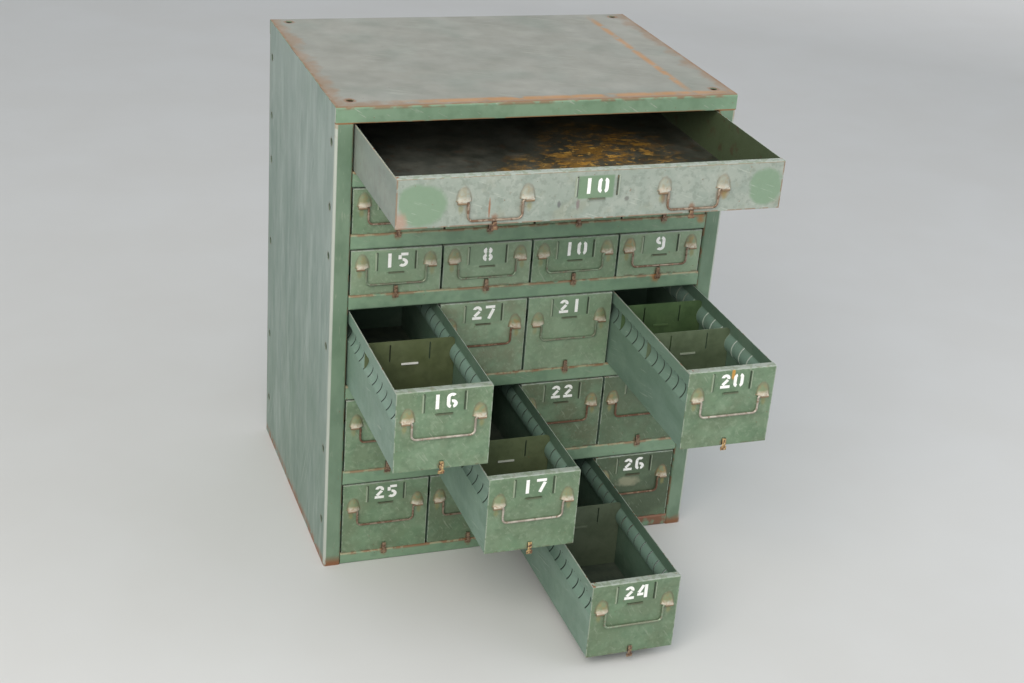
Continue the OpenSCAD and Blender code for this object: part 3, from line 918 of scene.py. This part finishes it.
@dataclass(frozen=True)
class TopEnamel:
    """The top, rubbed to a dull grey with the enamel gone along its edges and orange rust run in
    from the front and right; its front face keeps the green.

    Attributes:
        name: the material's name.
        half_width: half the casing's width.
        front: the top's front face.
        height: the casing's height.
        seam: the height of the front face's lower edge.
        holes: the right holes' places across and along; the left ones mirror them.
        run_x: where the orange line stands that runs to the back.
        run_inset: how far behind the front the other line stands.
        seed: moves its patterns to another place.
    """

    name: str
    half_width: float = 305.0
    front: float = -227.0
    height: float = 746.5
    seam: float = 723.0
    holes: tuple[tuple[float, float], ...] = ((278.5, -198.0), (278.5, 207.0))
    run_x: float = 236.0
    run_inset: float = 15.0
    seed: float = 5.0

    def material(self) -> bpy.types.Material:
        """Builds the finish.

        Returns:
            The material.
        """
        f = Finish(self.name)
        seed = self.seed
        level = f.span(f.nz, 0.75, None, 0.3)
        rough = f.wander(f.cloud(50, seed + 15), 0.42, 0.66)
        bump = f.cloud(80, seed + 16, detail=5.0, rough=0.4)
        colour = f.paint(self.face(f), (self.flat(f), level))
        return f.finish(colour, rough, 0.0, bump, 0.5)

    def flat(self, f: Finish) -> Socket:
        """The flat top, whose brown border reaches further in at some places than at others.

        Args:
            f: the finish that it belongs to.

        Returns:
            The colour's socket.
        """
        seed = self.seed
        across = f.size_of(f.x)
        beside = f.add("Math", self.half_width, across, operation="SUBTRACT")
        behind = f.add("Math", f.y, self.front, operation="SUBTRACT")
        rim = f.add("Math", beside, behind, operation="MINIMUM")
        reach = f.add("Math", f.cloud(34, seed + 1, detail=5.0), 60.0, operation="MULTIPLY")
        border = f.span(f.add("Math", rim, reach, operation="SUBTRACT"), None, -16, 14)
        side_run = f.both(f.span(f.off(f.x, self.run_x), None, 5, 7), f.span(f.y, -190, 190, 60),
                          f.blotches(26, 0.42, seed + 2, 0.1))
        front_run = f.both(f.span(f.off(f.y, self.front + self.run_inset), None, 7, 8),
                           f.span(f.x, -190, 290, 90), f.blotches(28, 0.42, seed + 3, 0.1))
        rings = f.either(*[f.spot(across, f.y, hole, (11.0, 11.0), 0.4, 0.6, seed)
                           for hole in self.holes])
        return f.paint(
            "#8e9087",
            f.patches("#9c9d95", 0.7, 120, 0.47, seed, 0.26),
            f.patches("#82867d", 0.5, 60, 0.55, seed + 4, 0.22),
            f.patches("#7f8a80", 0.5, 90, 0.58, seed + 5, 0.2),
            f.scuffs("#a9aaa0", 0.4, 70, 3, 0.64, seed + 6, (0, 0, 25), along=0),
            f.patches("#716e62", 0.8, 5, 0.72, seed + 7, 0.03),
            ("#907a63", f.both(border, 0.8)),
            ("#8a6b4e", f.both(f.span(rim, None, 4, 4), f.blotches(20, 0.44, seed + 8, 0.1))),
            ("#b48450", f.both(f.either(side_run, front_run), 0.85)),
            ("#8a5f3e", f.both(rings, 0.8)),
        )

    def face(self, f: Finish) -> Socket:
        """The top's front face, with rust along both of its edges.

        Args:
            f: the finish that it belongs to.

        Returns:
            The colour's socket.
        """
        seed = self.seed
        brow = f.span(f.z, self.height - 4.0, None, 3)
        brink = f.span(f.z, None, self.seam + 1.2, 0.8)
        return f.paint(
            "#77957a",
            f.patches("#8aa48a", 0.6, 70, 0.46, seed + 9, 0.26, stretch=(2, 1, 1)),
            f.patches("#69866b", 0.5, 20, 0.56, seed + 10, 0.2),
            f.scuffs(BARE, 0.5, 24, 2.2, 0.67, seed + 11, (0, 60, 0)),
            (RUST, f.both(brow, f.blotches(24, 0.52, seed + 12, 0.1), 0.7)),
            (RUST_SEAM, f.both(brink, f.blotches(30, 0.4, seed + 13, 0.1), 0.9)),
            f.patches(RUST_SPECK, 0.8, 5.5, 0.74, seed + 14, 0.02),
        )


# A place past the cabinet's side, for a stain that a rail doesn't have
NOWHERE = 1000.0


@dataclass(frozen=True)
class RailEnamel:
    """The rails on the shelves and the base: green, rubbed pale and rusty along the top edge where
    drawers and catches ride, with rust run down below each catch.

    Attributes:
        name: the material's name.
        top: the rail's upper edge.
        catches: where the catches hook over it.
        rust: how much of it rusts, from 0 to 1.
        rusty_from: where a rail that has rusted at its right end starts to.
        bloom: where a bloom of rust has its middle.
        front: the rail's front face.
        seed: moves its patterns to another place.
    """

    name: str
    top: float
    catches: tuple[float, ...]
    rust: float
    rusty_from: float = NOWHERE
    bloom: float = NOWHERE
    front: float = -227.0
    seed: float = 0.0

    def material(self) -> bpy.types.Material:
        """Builds the finish.

        Returns:
            The material.
        """
        f = Finish(self.name, (0.0, self.front, self.top))
        seed = self.seed
        near = f.nearest(f.x, self.catches)
        runs = f.spot(near, f.z, (0.0, -1.0), (7.5, 12.0), 0.6, 1.0, seed)
        ride, brink = f.span(f.z, -2.2, None, 1.6), f.span(f.z, -3.4, None, 2.4)
        far = f.both(f.span(f.x, self.rusty_from, None, 60), f.blotches(26, 0.44, seed + 6, 0.1))
        bloom = f.spot(f.x, f.z, (self.bloom, -4.0), (9.0, 12.0), 0.8, 1.1, seed + 11)
        rail = f.paint(
            "#739175",
            f.patches("#86a086", 0.6, 60, 0.46, seed, 0.26, stretch=(2.4, 1, 1)),
            f.patches("#65816a", 0.5, 20, 0.55, seed + 1, 0.2),
            f.scuffs(DULL, 0.5, 26, 2.2, 0.67, seed + 2, (0, 65, 0)),
            ("#a89f80", f.both(ride, f.blotches(22, 0.4, seed + 3, 0.1), 0.85)),
            (RUST, f.both(brink, f.blotches(17, 0.5, seed + 4, 0.08), 0.3 + 0.6 * self.rust)),
            ("#8a5a34", f.both(runs, 0.35 + 0.6 * self.rust)),
            f.patches(RUST_SPECK, 0.8, 5.5, 0.74, seed + 5, 0.02),
            ("#80503a", f.both(far, 0.9)),
            ("#a5713c", f.both(bloom, 0.8)),
        )
        colour = f.paint("#4a5a4c", f.patches("#606d5e", 0.5, 40, 0.54, seed + 8, 0.2),
                         (rail, f.span(f.y, None, 4.2, 1.5)))
        rough = f.wander(f.cloud(22, seed + 7), 0.4, 0.62)
        return f.finish(colour, rough, 0.0, f.cloud(12, seed + 9), 0.15)


@dataclass(frozen=True)
class PlainEnamel:
    """Enamel on sheets that few hands reach, with dust settled on it and a little rust.

    Attributes:
        name: the material's name.
        ground: its green.
        light: the green of its paler patches and scratches.
        dark: the green of its deeper patches.
        seed: moves its patterns to another place.
        rust_level: the noise level that rust starts at.
        tongue: the colour of the painted highlight on the tongue at a divider's front.
        tongue_y: how far back the tongue reaches.
    """

    name: str
    ground: str
    light: str
    dark: str
    seed: float
    rust_level: float = 0.72
    tongue: str | None = None
    tongue_y: float = 0.0

    def material(self) -> bpy.types.Material:
        """Builds the finish.

        Returns:
            The material.
        """
        f = Finish(self.name)
        seed = self.seed
        colour = f.paint(
            self.ground,
            f.patches(self.light, 0.6, 45, 0.48, seed, 0.26),
            f.patches(self.dark, 0.5, 16, 0.55, seed + 1, 0.2),
            f.scuffs(self.light, 0.5, 40, 2.4, 0.67, seed + 2, (0, 55, 0)),
            f.patches(RUST, 0.8, 6, self.rust_level, seed + 3, 0.03),
        )
        # A painted highlight on the tongue that stands in front of the divider's plate.
        if self.tongue is not None:
            colour = f.paint(colour, (self.tongue, f.span(f.y, None, self.tongue_y, 0.2)))
        rough = f.wander(f.cloud(20, seed + 4), 0.4, 0.62)
        return f.finish(colour, rough, 0.0, f.cloud(14, seed + 5), 0.15)


class Wire(Enum):
    """How the bails' steel wire looks after years of hands: its skin's colour, its rust's colour
    and the noise level that rust starts at."""

    HANDLED = ("#bbb4a8", "#8a7866", 0.61)
    PAINTED = ("#8b9c84", "#7a7263", 0.6)
    STAINED = ("#a19281", "#745b48", 0.53)
    RUSTED = ("#877059", "#694c3a", 0.46)

    def material(self) -> bpy.types.Material:
        """Builds the finish: drawn wire, its half-bare skin broken by dull brown rust.

        Returns:
            The material.
        """
        skin, rust, level = self.value
        f = Finish("wire_" + self.name.lower())
        spots = f.blotches(7, level, 1.0, 0.08)
        colour = f.paint(skin, f.patches("#77695a", 0.5, 15, 0.5, 2.0, 0.14), (rust, spots),
                         f.patches(RUST_BRIGHT, 0.4, 6, 0.7, 3.0, 0.04))
        metal = f.add("MapRange", spots, 0.0, 1.0, 0.55, 0.05)
        rough = f.add("MapRange", spots, 0.0, 1.0, 0.42, 0.8)
        return f.finish(colour, rough, metal, f.cloud(1.6, 4.0), 0.08)


@dataclass(frozen=True)
class StencilPaint:
    """White stencil paint, thin and flaking, so that the green below shows through its chips.

    Attributes:
        name: the material's name.
        flaking: the noise level that the chips start at.
    """

    name: str
    flaking: float

    def material(self) -> bpy.types.Material:
        """Builds the finish.

        Returns:
            The material.
        """
        f = Finish(self.name)
        chips = f.blotches(5.0, self.flaking, 2.0, 0.03)
        colour = f.paint("#fdfdfa", f.patches("#e6eae2", 0.5, 8, 0.56, 1.0, 0.1),
                         (ENAMEL_DEEP, chips))
        return f.finish(colour, 0.6, 0.0, f.cloud(1.5, 3.0), 0.03)


@dataclass(frozen=True)
class Bar:
    """A straight stroke of a stencil digit.

    Attributes:
        start: the middle of one end.
        end: the middle of the other end.
        width: the stroke's width.
    """

    start: tuple[float, float]
    end: tuple[float, float]
    width: float = 4.4

    def lay(self, mesh: bmesh.types.BMesh) -> None:
        """Adds the stroke to a flat mesh.

        Args:
            mesh: the mesh.
        """
        start, end = Vector((*self.start, 0.0)), Vector((*self.end, 0.0))
        along = end - start
        turn = Matrix.Rotation(math.atan2(along.y, along.x), 4, "Z")
        size = Matrix.Diagonal((along.length, self.width, 1.0, 1.0))
        place = Matrix.Translation((start + end) / 2) @ turn @ size
        bmesh.ops.create_grid(mesh, x_segments=1, y_segments=1, size=0.5, matrix=place)


@dataclass(frozen=True)
class Arc:
    """A round stroke of a stencil digit.

    Attributes:
        centre: the point that it turns about.
        radius: the radius of its middle line.
        start: the angle that it starts at, in degrees.
        end: the angle that it ends at, in degrees.
        width: the stroke's width.
        step: the angle that one face spans, in degrees.
    """

    centre: tuple[float, float]
    radius: float
    start: float
    end: float
    width: float = 4.4
    step: float = 12.0

    def lay(self, mesh: bmesh.types.BMesh) -> None:
        """Adds the stroke to a flat mesh.

        Args:
            mesh: the mesh.
        """
        centre = Vector((*self.centre, 0.0))
        angle = math.radians(self.start)
        ray = Vector((math.cos(angle), math.sin(angle), 0.0))
        inner = mesh.verts.new(centre + ray * (self.radius - self.width / 2))
        outer = mesh.verts.new(centre + ray * (self.radius + self.width / 2))
        edge = mesh.edges.new((inner, outer))
        sweep = self.end - self.start
        bmesh.ops.spin(mesh, geom=[inner, outer, edge], cent=centre, axis=(0, 0, 1),
                       dvec=(0, 0, 0), angle=math.radians(sweep),
                       steps=max(3, round(abs(sweep) / self.step)), use_merge=False,
                       use_duplicate=False)


# Stencil digits 22 mm tall, drawn about their own middle; the gaps are the stencil's bridges
DIGITS: dict[str, tuple[Bar | Arc, ...]] = {
    "0": (Arc((0.9, 4.9), 3.85, 0, 70), Bar((4.75, 4.9), (4.75, -4.9)),
          Arc((0.9, -4.9), 3.85, -70, 0), Arc((-0.9, 4.9), 3.85, 110, 180),
          Bar((-4.75, 4.9), (-4.75, -4.9)), Arc((-0.9, -4.9), 3.85, 180, 250)),
    "1": (Bar((0.0, -11), (0.0, 11)),),
    "2": (Arc((0, 4.9), 3.95, -20, 172), Bar((3.2, 2.2), (-3.6, -5.6)),
          Bar((-6.6, -8.75), (6.6, -8.75))),
    "3": (Arc((0, 5.3), 3.5, -62, 150), Arc((0, -4.6), 4.2, -152, 66)),
    "4": (Bar((0.6, 10.4), (-5.6, -1.4)), Bar((-7.4, -4.4), (1.0, -4.4)),
          Bar((4.4, 11), (4.4, -11))),
    "5": (Bar((-3.4, 8.75), (6.2, 8.75)), Bar((-4.7, 7.6), (-4.7, 1.0)),
          Arc((-0.5, -4.3), 4.5, -140, 100)),
    "6": (Arc((-0.1, 5.2), 4.4, 40, 180), Bar((-4.5, 5.2), (-4.5, -4.6)),
          Arc((-0.1, -4.6), 4.4, 180, 254), Arc((0.7, -4.6), 4.2, -76, 104)),
    "7": (Bar((-6.6, 8.75), (6.6, 8.75)), Bar((4.6, 5.2), (-1.6, -10.6))),
    "8": (Arc((0.7, 5.7), 3.2, -72, 72), Arc((-0.7, 5.7), 3.2, 108, 252),
          Arc((0.7, -4.9), 3.9, -76, 76), Arc((-0.7, -4.9), 3.9, 104, 256)),
    "9": (Arc((0.1, -5.2), 4.4, -140, 0), Bar((4.5, -5.2), (4.5, 4.6)),
          Arc((0.1, 4.6), 4.4, 0, 74), Arc((-0.7, 4.6), 4.2, 104, 284)),
}


@dataclass(frozen=True)
class StencilNumber:
    """A drawer's number, stencilled on its front between the card slots.

    Attributes:
        body: the drawer that it is painted on.
        text: the number.
        place: where that drawer stands.
        drop: from the top of the front to the digits' middle, in millimetres.
        pitch: the spacing of two digits.
        widen: how much wider the digits are than drawn.
        shift: how far the number stands to the right of the drawer's middle.
        film: the paint's thickness.
        gap: the air between paint and plate, too small to see.
    """

    body: str
    text: str
    place: Place
    drop: float = 18.0
    pitch: float = 20.5
    widen: float = 1.12
    shift: float = 0.0
    film: float = 0.12
    gap: float = 0.03

    def build(self, paint: bpy.types.Material) -> None:
        """Makes the number and dresses it.

        Args:
            paint: the stencil paint.
        """
        mesh = bmesh.new()
        first = -self.pitch * (len(self.text) - 1) / 2
        for i, digit in enumerate(self.text):
            before = set(mesh.verts)
            for stroke in DIGITS[digit]:
                stroke.lay(mesh)
            laid = [v for v in mesh.verts if v not in before]
            bmesh.ops.scale(mesh, vec=(self.widen, 1, 1), verts=laid)
            bmesh.ops.translate(mesh, vec=(first + i * self.pitch, 0, 0), verts=laid)
        raised = bmesh.ops.extrude_face_region(mesh, geom=list(mesh.faces))["geom"]
        tops = [v for v in raised if isinstance(v, bmesh.types.BMVert)]
        bmesh.ops.translate(mesh, vec=(0, 0, self.film), verts=tops)
        upright = Matrix.Rotation(math.radians(90), 4, "X")
        spot = Vector((self.place.centre + self.shift, self.place.face - self.gap,
                       self.place.top - self.drop))
        matrix = Matrix.Scale(MM, 4) @ Matrix.Translation(spot) @ upright
        bmesh.ops.transform(mesh, matrix=matrix, verts=list(mesh.verts))
        bmesh.ops.recalc_face_normals(mesh, faces=list(mesh.faces))
        piece = placed(f"number_{self.body}", mesh, paint)
        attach(piece, self.body)


def placed(name: str, mesh: bmesh.types.BMesh, material: bpy.types.Material) -> bpy.types.Object:
    """Makes a finished mesh an object at the origin.

    Args:
        name: the object's name.
        mesh: its mesh, in metres and in place.
        material: its finish.

    Returns:
        The object.
    """
    data = bpy.data.meshes.new(name)
    mesh.to_mesh(data)
    mesh.free()
    data.materials.append(material)
    piece = bpy.data.objects.new(name, data)
    bpy.context.scene.collection.objects.link(piece)
    LOG.info("%s: %d faces", name, len(data.polygons))
    return piece


def dress(node: str, material: bpy.types.Material) -> None:
    """Gives a CAD node its finish.

    Args:
        node: the node's name.
        material: the finish.
    """
    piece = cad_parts[node]
    if not piece.material_slots:
        piece.data.materials.append(material)
    for slot in piece.material_slots:
        slot.link = "OBJECT"
        slot.material = material
    LOG.info("%s: dressed in %s", node, material.name)


@dataclass(frozen=True)
class Casing:
    """The welded shell: sides, top, back, base, shelves and guides.

    Attributes:
        columns: the middles of the drawers, where their catches hook over the rails.
        tray_catches: the middles of the tray's two catches.
        rail_rust: how rusty each shelf's rail is, from the uppermost down.
        rail_bloom: where each of them has a bloom of rust.
        base_rust: how rusty the base's rail is.
        base_rusty_from: where its rusted right end starts.
    """

    columns: tuple[float, ...] = (-208.7625, -69.5875, 69.5875, 208.7625)
    tray_catches: tuple[float, ...] = (-142.0, 142.0)
    rail_rust: tuple[float, ...] = (0.6, 0.5, 0.5, 0.8, 0.5)
    rail_bloom: tuple[float, ...] = (NOWHERE, 270.0, 205.0, NOWHERE, NOWHERE)
    base_rust: float = 0.8
    base_rusty_from: float = 60.0

    def build(self) -> None:
        """Dresses every node of the shell."""
        sides = CasingEnamel("casing_green").material()
        dress("left_side", sides)
        dress("right_side", sides)
        dress("top_panel", TopEnamel("top_grey").material())
        back = PlainEnamel("back_green", "#5c7a62", "#6f8c74", "#4d6853", seed=1.0)
        dress("back_panel", back.material())
        guides = PlainEnamel("guide_green", "#4a5e50", "#5b7060", "#3d4f42", seed=2.0,
                             rust_level=0.6)
        dress("drawer_guides", guides.material())
        for row, (rust, bloom) in enumerate(zip(self.rail_rust, self.rail_bloom), start=1):
            node = f"shelf_{row}"
            catches = self.tray_catches if row == 1 else self.columns
            rail = RailEnamel(f"rail_{row}_green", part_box(node)[1].z / MM, catches, rust,
                              bloom=bloom, seed=row * 2.3)
            dress(node, rail.material())
        base = RailEnamel("base_green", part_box("base_pan")[1].z / MM, self.columns,
                          self.base_rust, rusty_from=self.base_rusty_from, seed=17.0)
        dress("base_pan", base.material())


@dataclass(frozen=True)
class Drawers:
    """The twenty drawers and the tray, with their bails, numbers and dividers.

    A drawer is named by its row and its column, both from 1, and the tray is the first row.

    Attributes:
        length: a drawer's length.
        height: the height of the drawers in rows 2 and 3, and of the tray.
        deep_height: the height of the drawers below.
        pivot: from the top down to the bails' pivots on rows 2 and 3.
        deep_pivot: the same on the rows below.
        tray_pivot: the same on the tray.
        last_low_row: the last row of the low drawers.
        tray_drop: from the tray's top to the middle of its number.
        tray_shift: how far that number stands to the right of the tray's middle.
        numbers: the numbers of rows 2 to 6, from left to right.
        wear: how hard the life of the drawers that can be seen well has been.
        wires: the bails' wire, where it isn't merely stained.
        dividers: each divider with its ground, pale and dark colours, its tongue's painted
            highlight, and its seed.
        tongue_stand: how far a divider's tongue stands out.
    """

    length: float = 445.5
    height: float = 69.2
    deep_height: float = 121.7
    pivot: float = 28.0
    deep_pivot: float = 46.0
    tray_pivot: float = 36.0
    last_low_row: int = 3
    tray_drop: float = 22.3
    tray_shift: float = -2.0
    numbers: tuple[tuple[str, ...], ...] = (
        ("11", "12", "13", "14"),
        ("15", "8", "10", "9"),
        ("16", "27", "21", "20"),
        ("18", "17", "22", "23"),
        ("25", "19", "24", "26"),
    )
    wear: dict[tuple[int, int], Wear] = field(default_factory=lambda: {
        (3, 1): Wear(painted_light=0.24),
        (3, 2): Wear(rust=0.45, grime=0.35, painted_light=0.24),
        (3, 3): Wear(painted_light=0.08),
        (3, 4): Wear(rust=0.7, grime=0.5, fade=0.4, painted_light=0.28),
        (4, 1): Wear(rust=0.5, fade=0.6, brass=True, painted_shade=0.15),
        (4, 2): Wear(rust=0.8, grime=0.95, painted_light=0.22),
        (4, 3): Wear(painted_light=0.2),
        # Its slits are painted pale inside, as painted light coming in through them.
        (4, 4): Wear(rust=0.4, grime=0.35, fade=0.6, drip=True, brass=True, slits="#a3b09f",
                     painted_shade=0.22),
        (5, 2): Wear(grime=0.25, brass=True, painted_shade=0.18),
        (5, 3): Wear(rust=0.7, grime=0.8, fade=0.3, painted_shade=0.3),
        (5, 4): Wear(rust=0.7, grime=0.5, fade=0.2, painted_shade=0.5),
        (6, 1): Wear(rust=0.5, grime=0.4, fade=0.3),
        (6, 2): Wear(rust=0.5, grime=0.4, fade=0.3, painted_shade=0.3),
        (6, 3): Wear(rust=0.45, grime=0.35, fade=0.3, painted_shade=0.2),
        (6, 4): Wear(rust=0.8, grime=0.6, fade=0.2, smudge=True, painted_shade=0.85),
    })
    wires: dict[Wire, tuple[tuple[int, int], ...]] = field(default_factory=lambda: {
        Wire.HANDLED: ((4, 1), (4, 4), (5, 2)),
        Wire.PAINTED: ((3, 1), (3, 2), (3, 3), (4, 3), (6, 3)),
        Wire.RUSTED: ((4, 2), (5, 3), (5, 4), (6, 4), (5, 1)),
    })
    dividers: tuple[tuple[str, str, str, str, str, float], ...] = (
        ("divider_4_1", "#56603f", "#666f4f", "#495236", "#f2f3ee", 28.7),
        ("divider_5_2", "#5c6848", "#6c7757", "#4e593d", "#cfd3c6", 29.0),
        ("divider_6_3", "#5e6a55", "#707a66", "#505c48", "#76806c", 29.3),
        ("divider_4_4_front", "#5b694f", "#6c7a60", "#4d5a43", "#9ba591", 54.8),
        ("divider_4_4_rear", "#48603c", "#587048", "#3d5233", "#587048", 53.2),
    )
    tongue_stand: float = 1.0

    def build(self) -> None:
        """Dresses the tray, the drawers and what they carry."""
        wires = {wire: wire.material() for wire in Wire}
        fresh = StencilPaint("stencil_white", 0.77).material()
        worn = StencilPaint("stencil_worn", 0.7).material()
        self.tray(wires[Wire.STAINED], fresh)
        for row, numbers in enumerate(self.numbers, start=2):
            for column, text in enumerate(numbers, start=1):
                body = f"drawer_{row}_{column}"
                place = self.drawer(row, column)
                wire = next((wire for wire, places in self.wires.items()
                             if (row, column) in places), Wire.STAINED)
                paint = worn if wire is Wire.RUSTED else fresh
                StencilNumber(body, text, place).build(paint)
                dress(f"bail_{row}_{column}", wires[wire])
        for node, ground, light, dark, tongue, seed in self.dividers:
            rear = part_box(node)[0].y / MM + self.tongue_stand
            olive = PlainEnamel(f"{node}_olive", ground, light, dark, seed, 0.74, tongue, rear)
            dress(node, olive.material())

    def tray(self, wire: bpy.types.Material, paint: bpy.types.Material) -> None:
        """Dresses the tray with its number and its bails.

        Args:
            wire: the bails' finish.
            paint: the stencil paint.
        """
        place = Place.of("tray", self.length, self.height)
        wear = Wear(grime=0.5)
        dress("tray", TrayEnamel("tray_green", place, self.tray_pivot, wear, 40.0).material())
        StencilNumber("tray", "10", place, self.tray_drop, shift=self.tray_shift).build(paint)
        for side in ("left", "right"):
            dress(f"bail_tray_{side}", wire)

    def drawer(self, row: int, column: int) -> Place:
        """Dresses one drawer.

        Args:
            row: its row.
            column: its column.

        Returns:
            Its place.
        """
        body = f"drawer_{row}_{column}"
        small = row <= self.last_low_row
        place = Place.of(body, self.length, self.height if small else self.deep_height)
        pivot = self.pivot if small else self.deep_pivot
        wear = self.wear.get((row, column), Wear())
        seed = row * 7.0 + column * 1.7
        dress(body, DrawerEnamel(f"{body}_green", place, pivot, wear, seed).material())
        return place


@dataclass(frozen=True)
class Lamp:
    """A soft square lamp that faces the cabinet.

    Attributes:
        name: the lamp's name.
        place: where it hangs, in metres.
        power: its power, in watts.
        colour: its light's colour.
        size: its side, in metres.
        aim: the point that it faces, in metres.
    """

    name: str
    place: tuple[float, float, float]
    power: float
    colour: str
    size: float = 2.8
    aim: tuple[float, float, float] = (0.0, -0.1, 0.35)

    def hang(self) -> None:
        """Hangs the lamp."""
        data = bpy.data.lights.new(self.name, "AREA")
        data.size = self.size
        data.energy = self.power
        data.color = linear(self.colour)[:3]
        lamp = bpy.data.objects.new(self.name, data)
        lamp.location = self.place
        ray = Vector(self.aim) - Vector(self.place)
        lamp.rotation_euler = ray.to_track_quat("-Z", "Y").to_euler()
        bpy.context.scene.collection.objects.link(lamp)


@dataclass(frozen=True)
class Stage:
    """The plain pale floor, the soft light and the camera.

    Attributes:
        eye: the camera's place, in metres.
        turn: the camera's turn about each axis, in degrees.
        lens: its focal length, in millimetres.
        sensor: its sensor's width, in millimetres.
        floor_size: the floor's side, in metres.
        fade_at: how far off, in millimetres, the floor is half way to white.
        fade_over: the width over which it turns white.
        fill: the strength of the light from all sides.
        fill_colour: its colour.
        lamps: the lamps.
    """

    eye: tuple[float, float, float] = (-0.82394, -2.32685, 1.44709)
    turn: tuple[float, float, float] = (64.25290, -4.19307, -18.90278)
    lens: float = 57.66
    sensor: float = 36.0
    floor_size: float = 16.0
    fade_at: float = 5500.0
    fade_over: float = 4500.0
    fill: float = 0.58
    fill_colour: str = "#eef2f6"
    lamps: tuple[Lamp, ...] = (
        Lamp("window", (-1.9, -2.6, 2.6), 104.0, "#fff9f0"),
        Lamp("bounce", (2.4, -1.6, 1.8), 30.0, "#f4f6fc"),
    )

    def camera(self) -> None:
        """Sets the camera at the photograph's view."""
        data = bpy.data.cameras.new("view")
        data.lens = self.lens
        data.sensor_width = self.sensor
        eye = bpy.data.objects.new("view", data)
        eye.location = self.eye
        eye.rotation_euler = [math.radians(a) for a in self.turn]
        bpy.context.scene.collection.objects.link(eye)
        bpy.context.scene.camera = eye

    def floor(self) -> None:
        """Lays the floor: pale, faintly clouded concrete that keeps the shadow, and that the
        camera sees turn white far from the cabinet."""
        f = Finish("floor_pale")
        clouds = f.patches("#cecdc9", 0.25, 260, 0.48, 1.0, 0.3)
        material = f.finish(f.paint("#d8d9d8", clouds), 0.85)
        far = f.add("VectorMath", f.at, operation="LENGTH").node.outputs["Value"]
        fade = f.span(far, self.fade_at, None, self.fade_over)
        seen = f.tree.nodes.new("ShaderNodeLightPath").outputs["Is Camera Ray"]
        white = f.add("Emission", linear("#ffffff"), 1.0)
        mixed = f.add("MixShader", f.both(fade, seen), f.shader.outputs[0], white)
        out = next(n for n in f.tree.nodes if n.type == "OUTPUT_MATERIAL")
        f.tree.links.new(mixed, out.inputs["Surface"])
        mesh = bmesh.new()
        bmesh.ops.create_grid(mesh, x_segments=1, y_segments=1, size=self.floor_size / 2)
        placed("floor", mesh, material)

    def world(self) -> None:
        """Fills the room with soft light, and shows white behind the floor."""
        world = bpy.data.worlds.new("room")
        world.use_nodes = True
        bpy.context.scene.world = world
        tree = world.node_tree
        tree.nodes.clear()
        soft = tree.nodes.new("ShaderNodeBackground")
        soft.inputs["Color"].default_value = linear(self.fill_colour)
        soft.inputs["Strength"].default_value = self.fill
        white = tree.nodes.new("ShaderNodeBackground")
        white.inputs["Color"].default_value = linear("#ffffff")
        path = tree.nodes.new("ShaderNodeLightPath")
        seen = path.outputs["Is Camera Ray"]
        for name in ("Is Glossy Ray", "Is Transmission Ray"):
            wider = tree.nodes.new("ShaderNodeMath")
            wider.operation = "MAXIMUM"
            tree.links.new(seen, wider.inputs[0])
            tree.links.new(path.outputs[name], wider.inputs[1])
            seen = wider.outputs[0]
        pick = tree.nodes.new("ShaderNodeMixShader")
        tree.links.new(seen, pick.inputs[0])
        tree.links.new(soft.outputs[0], pick.inputs[1])
        tree.links.new(white.outputs[0], pick.inputs[2])
        out = tree.nodes.new("ShaderNodeOutputWorld")
        tree.links.new(pick.outputs[0], out.inputs[0])

    def build(self) -> None:
        """Sets the stage."""
        self.floor()
        self.world()
        for lamp in self.lamps:
            lamp.hang()
        bpy.context.scene.view_settings.view_transform = "Standard"


def main() -> None:
    """Builds the cabinet's looks and its stage."""
    stage = Stage()
    stage.camera()
    Casing().build()
    Drawers().build()
    stage.build()


if __name__ == "__main__":
    main()
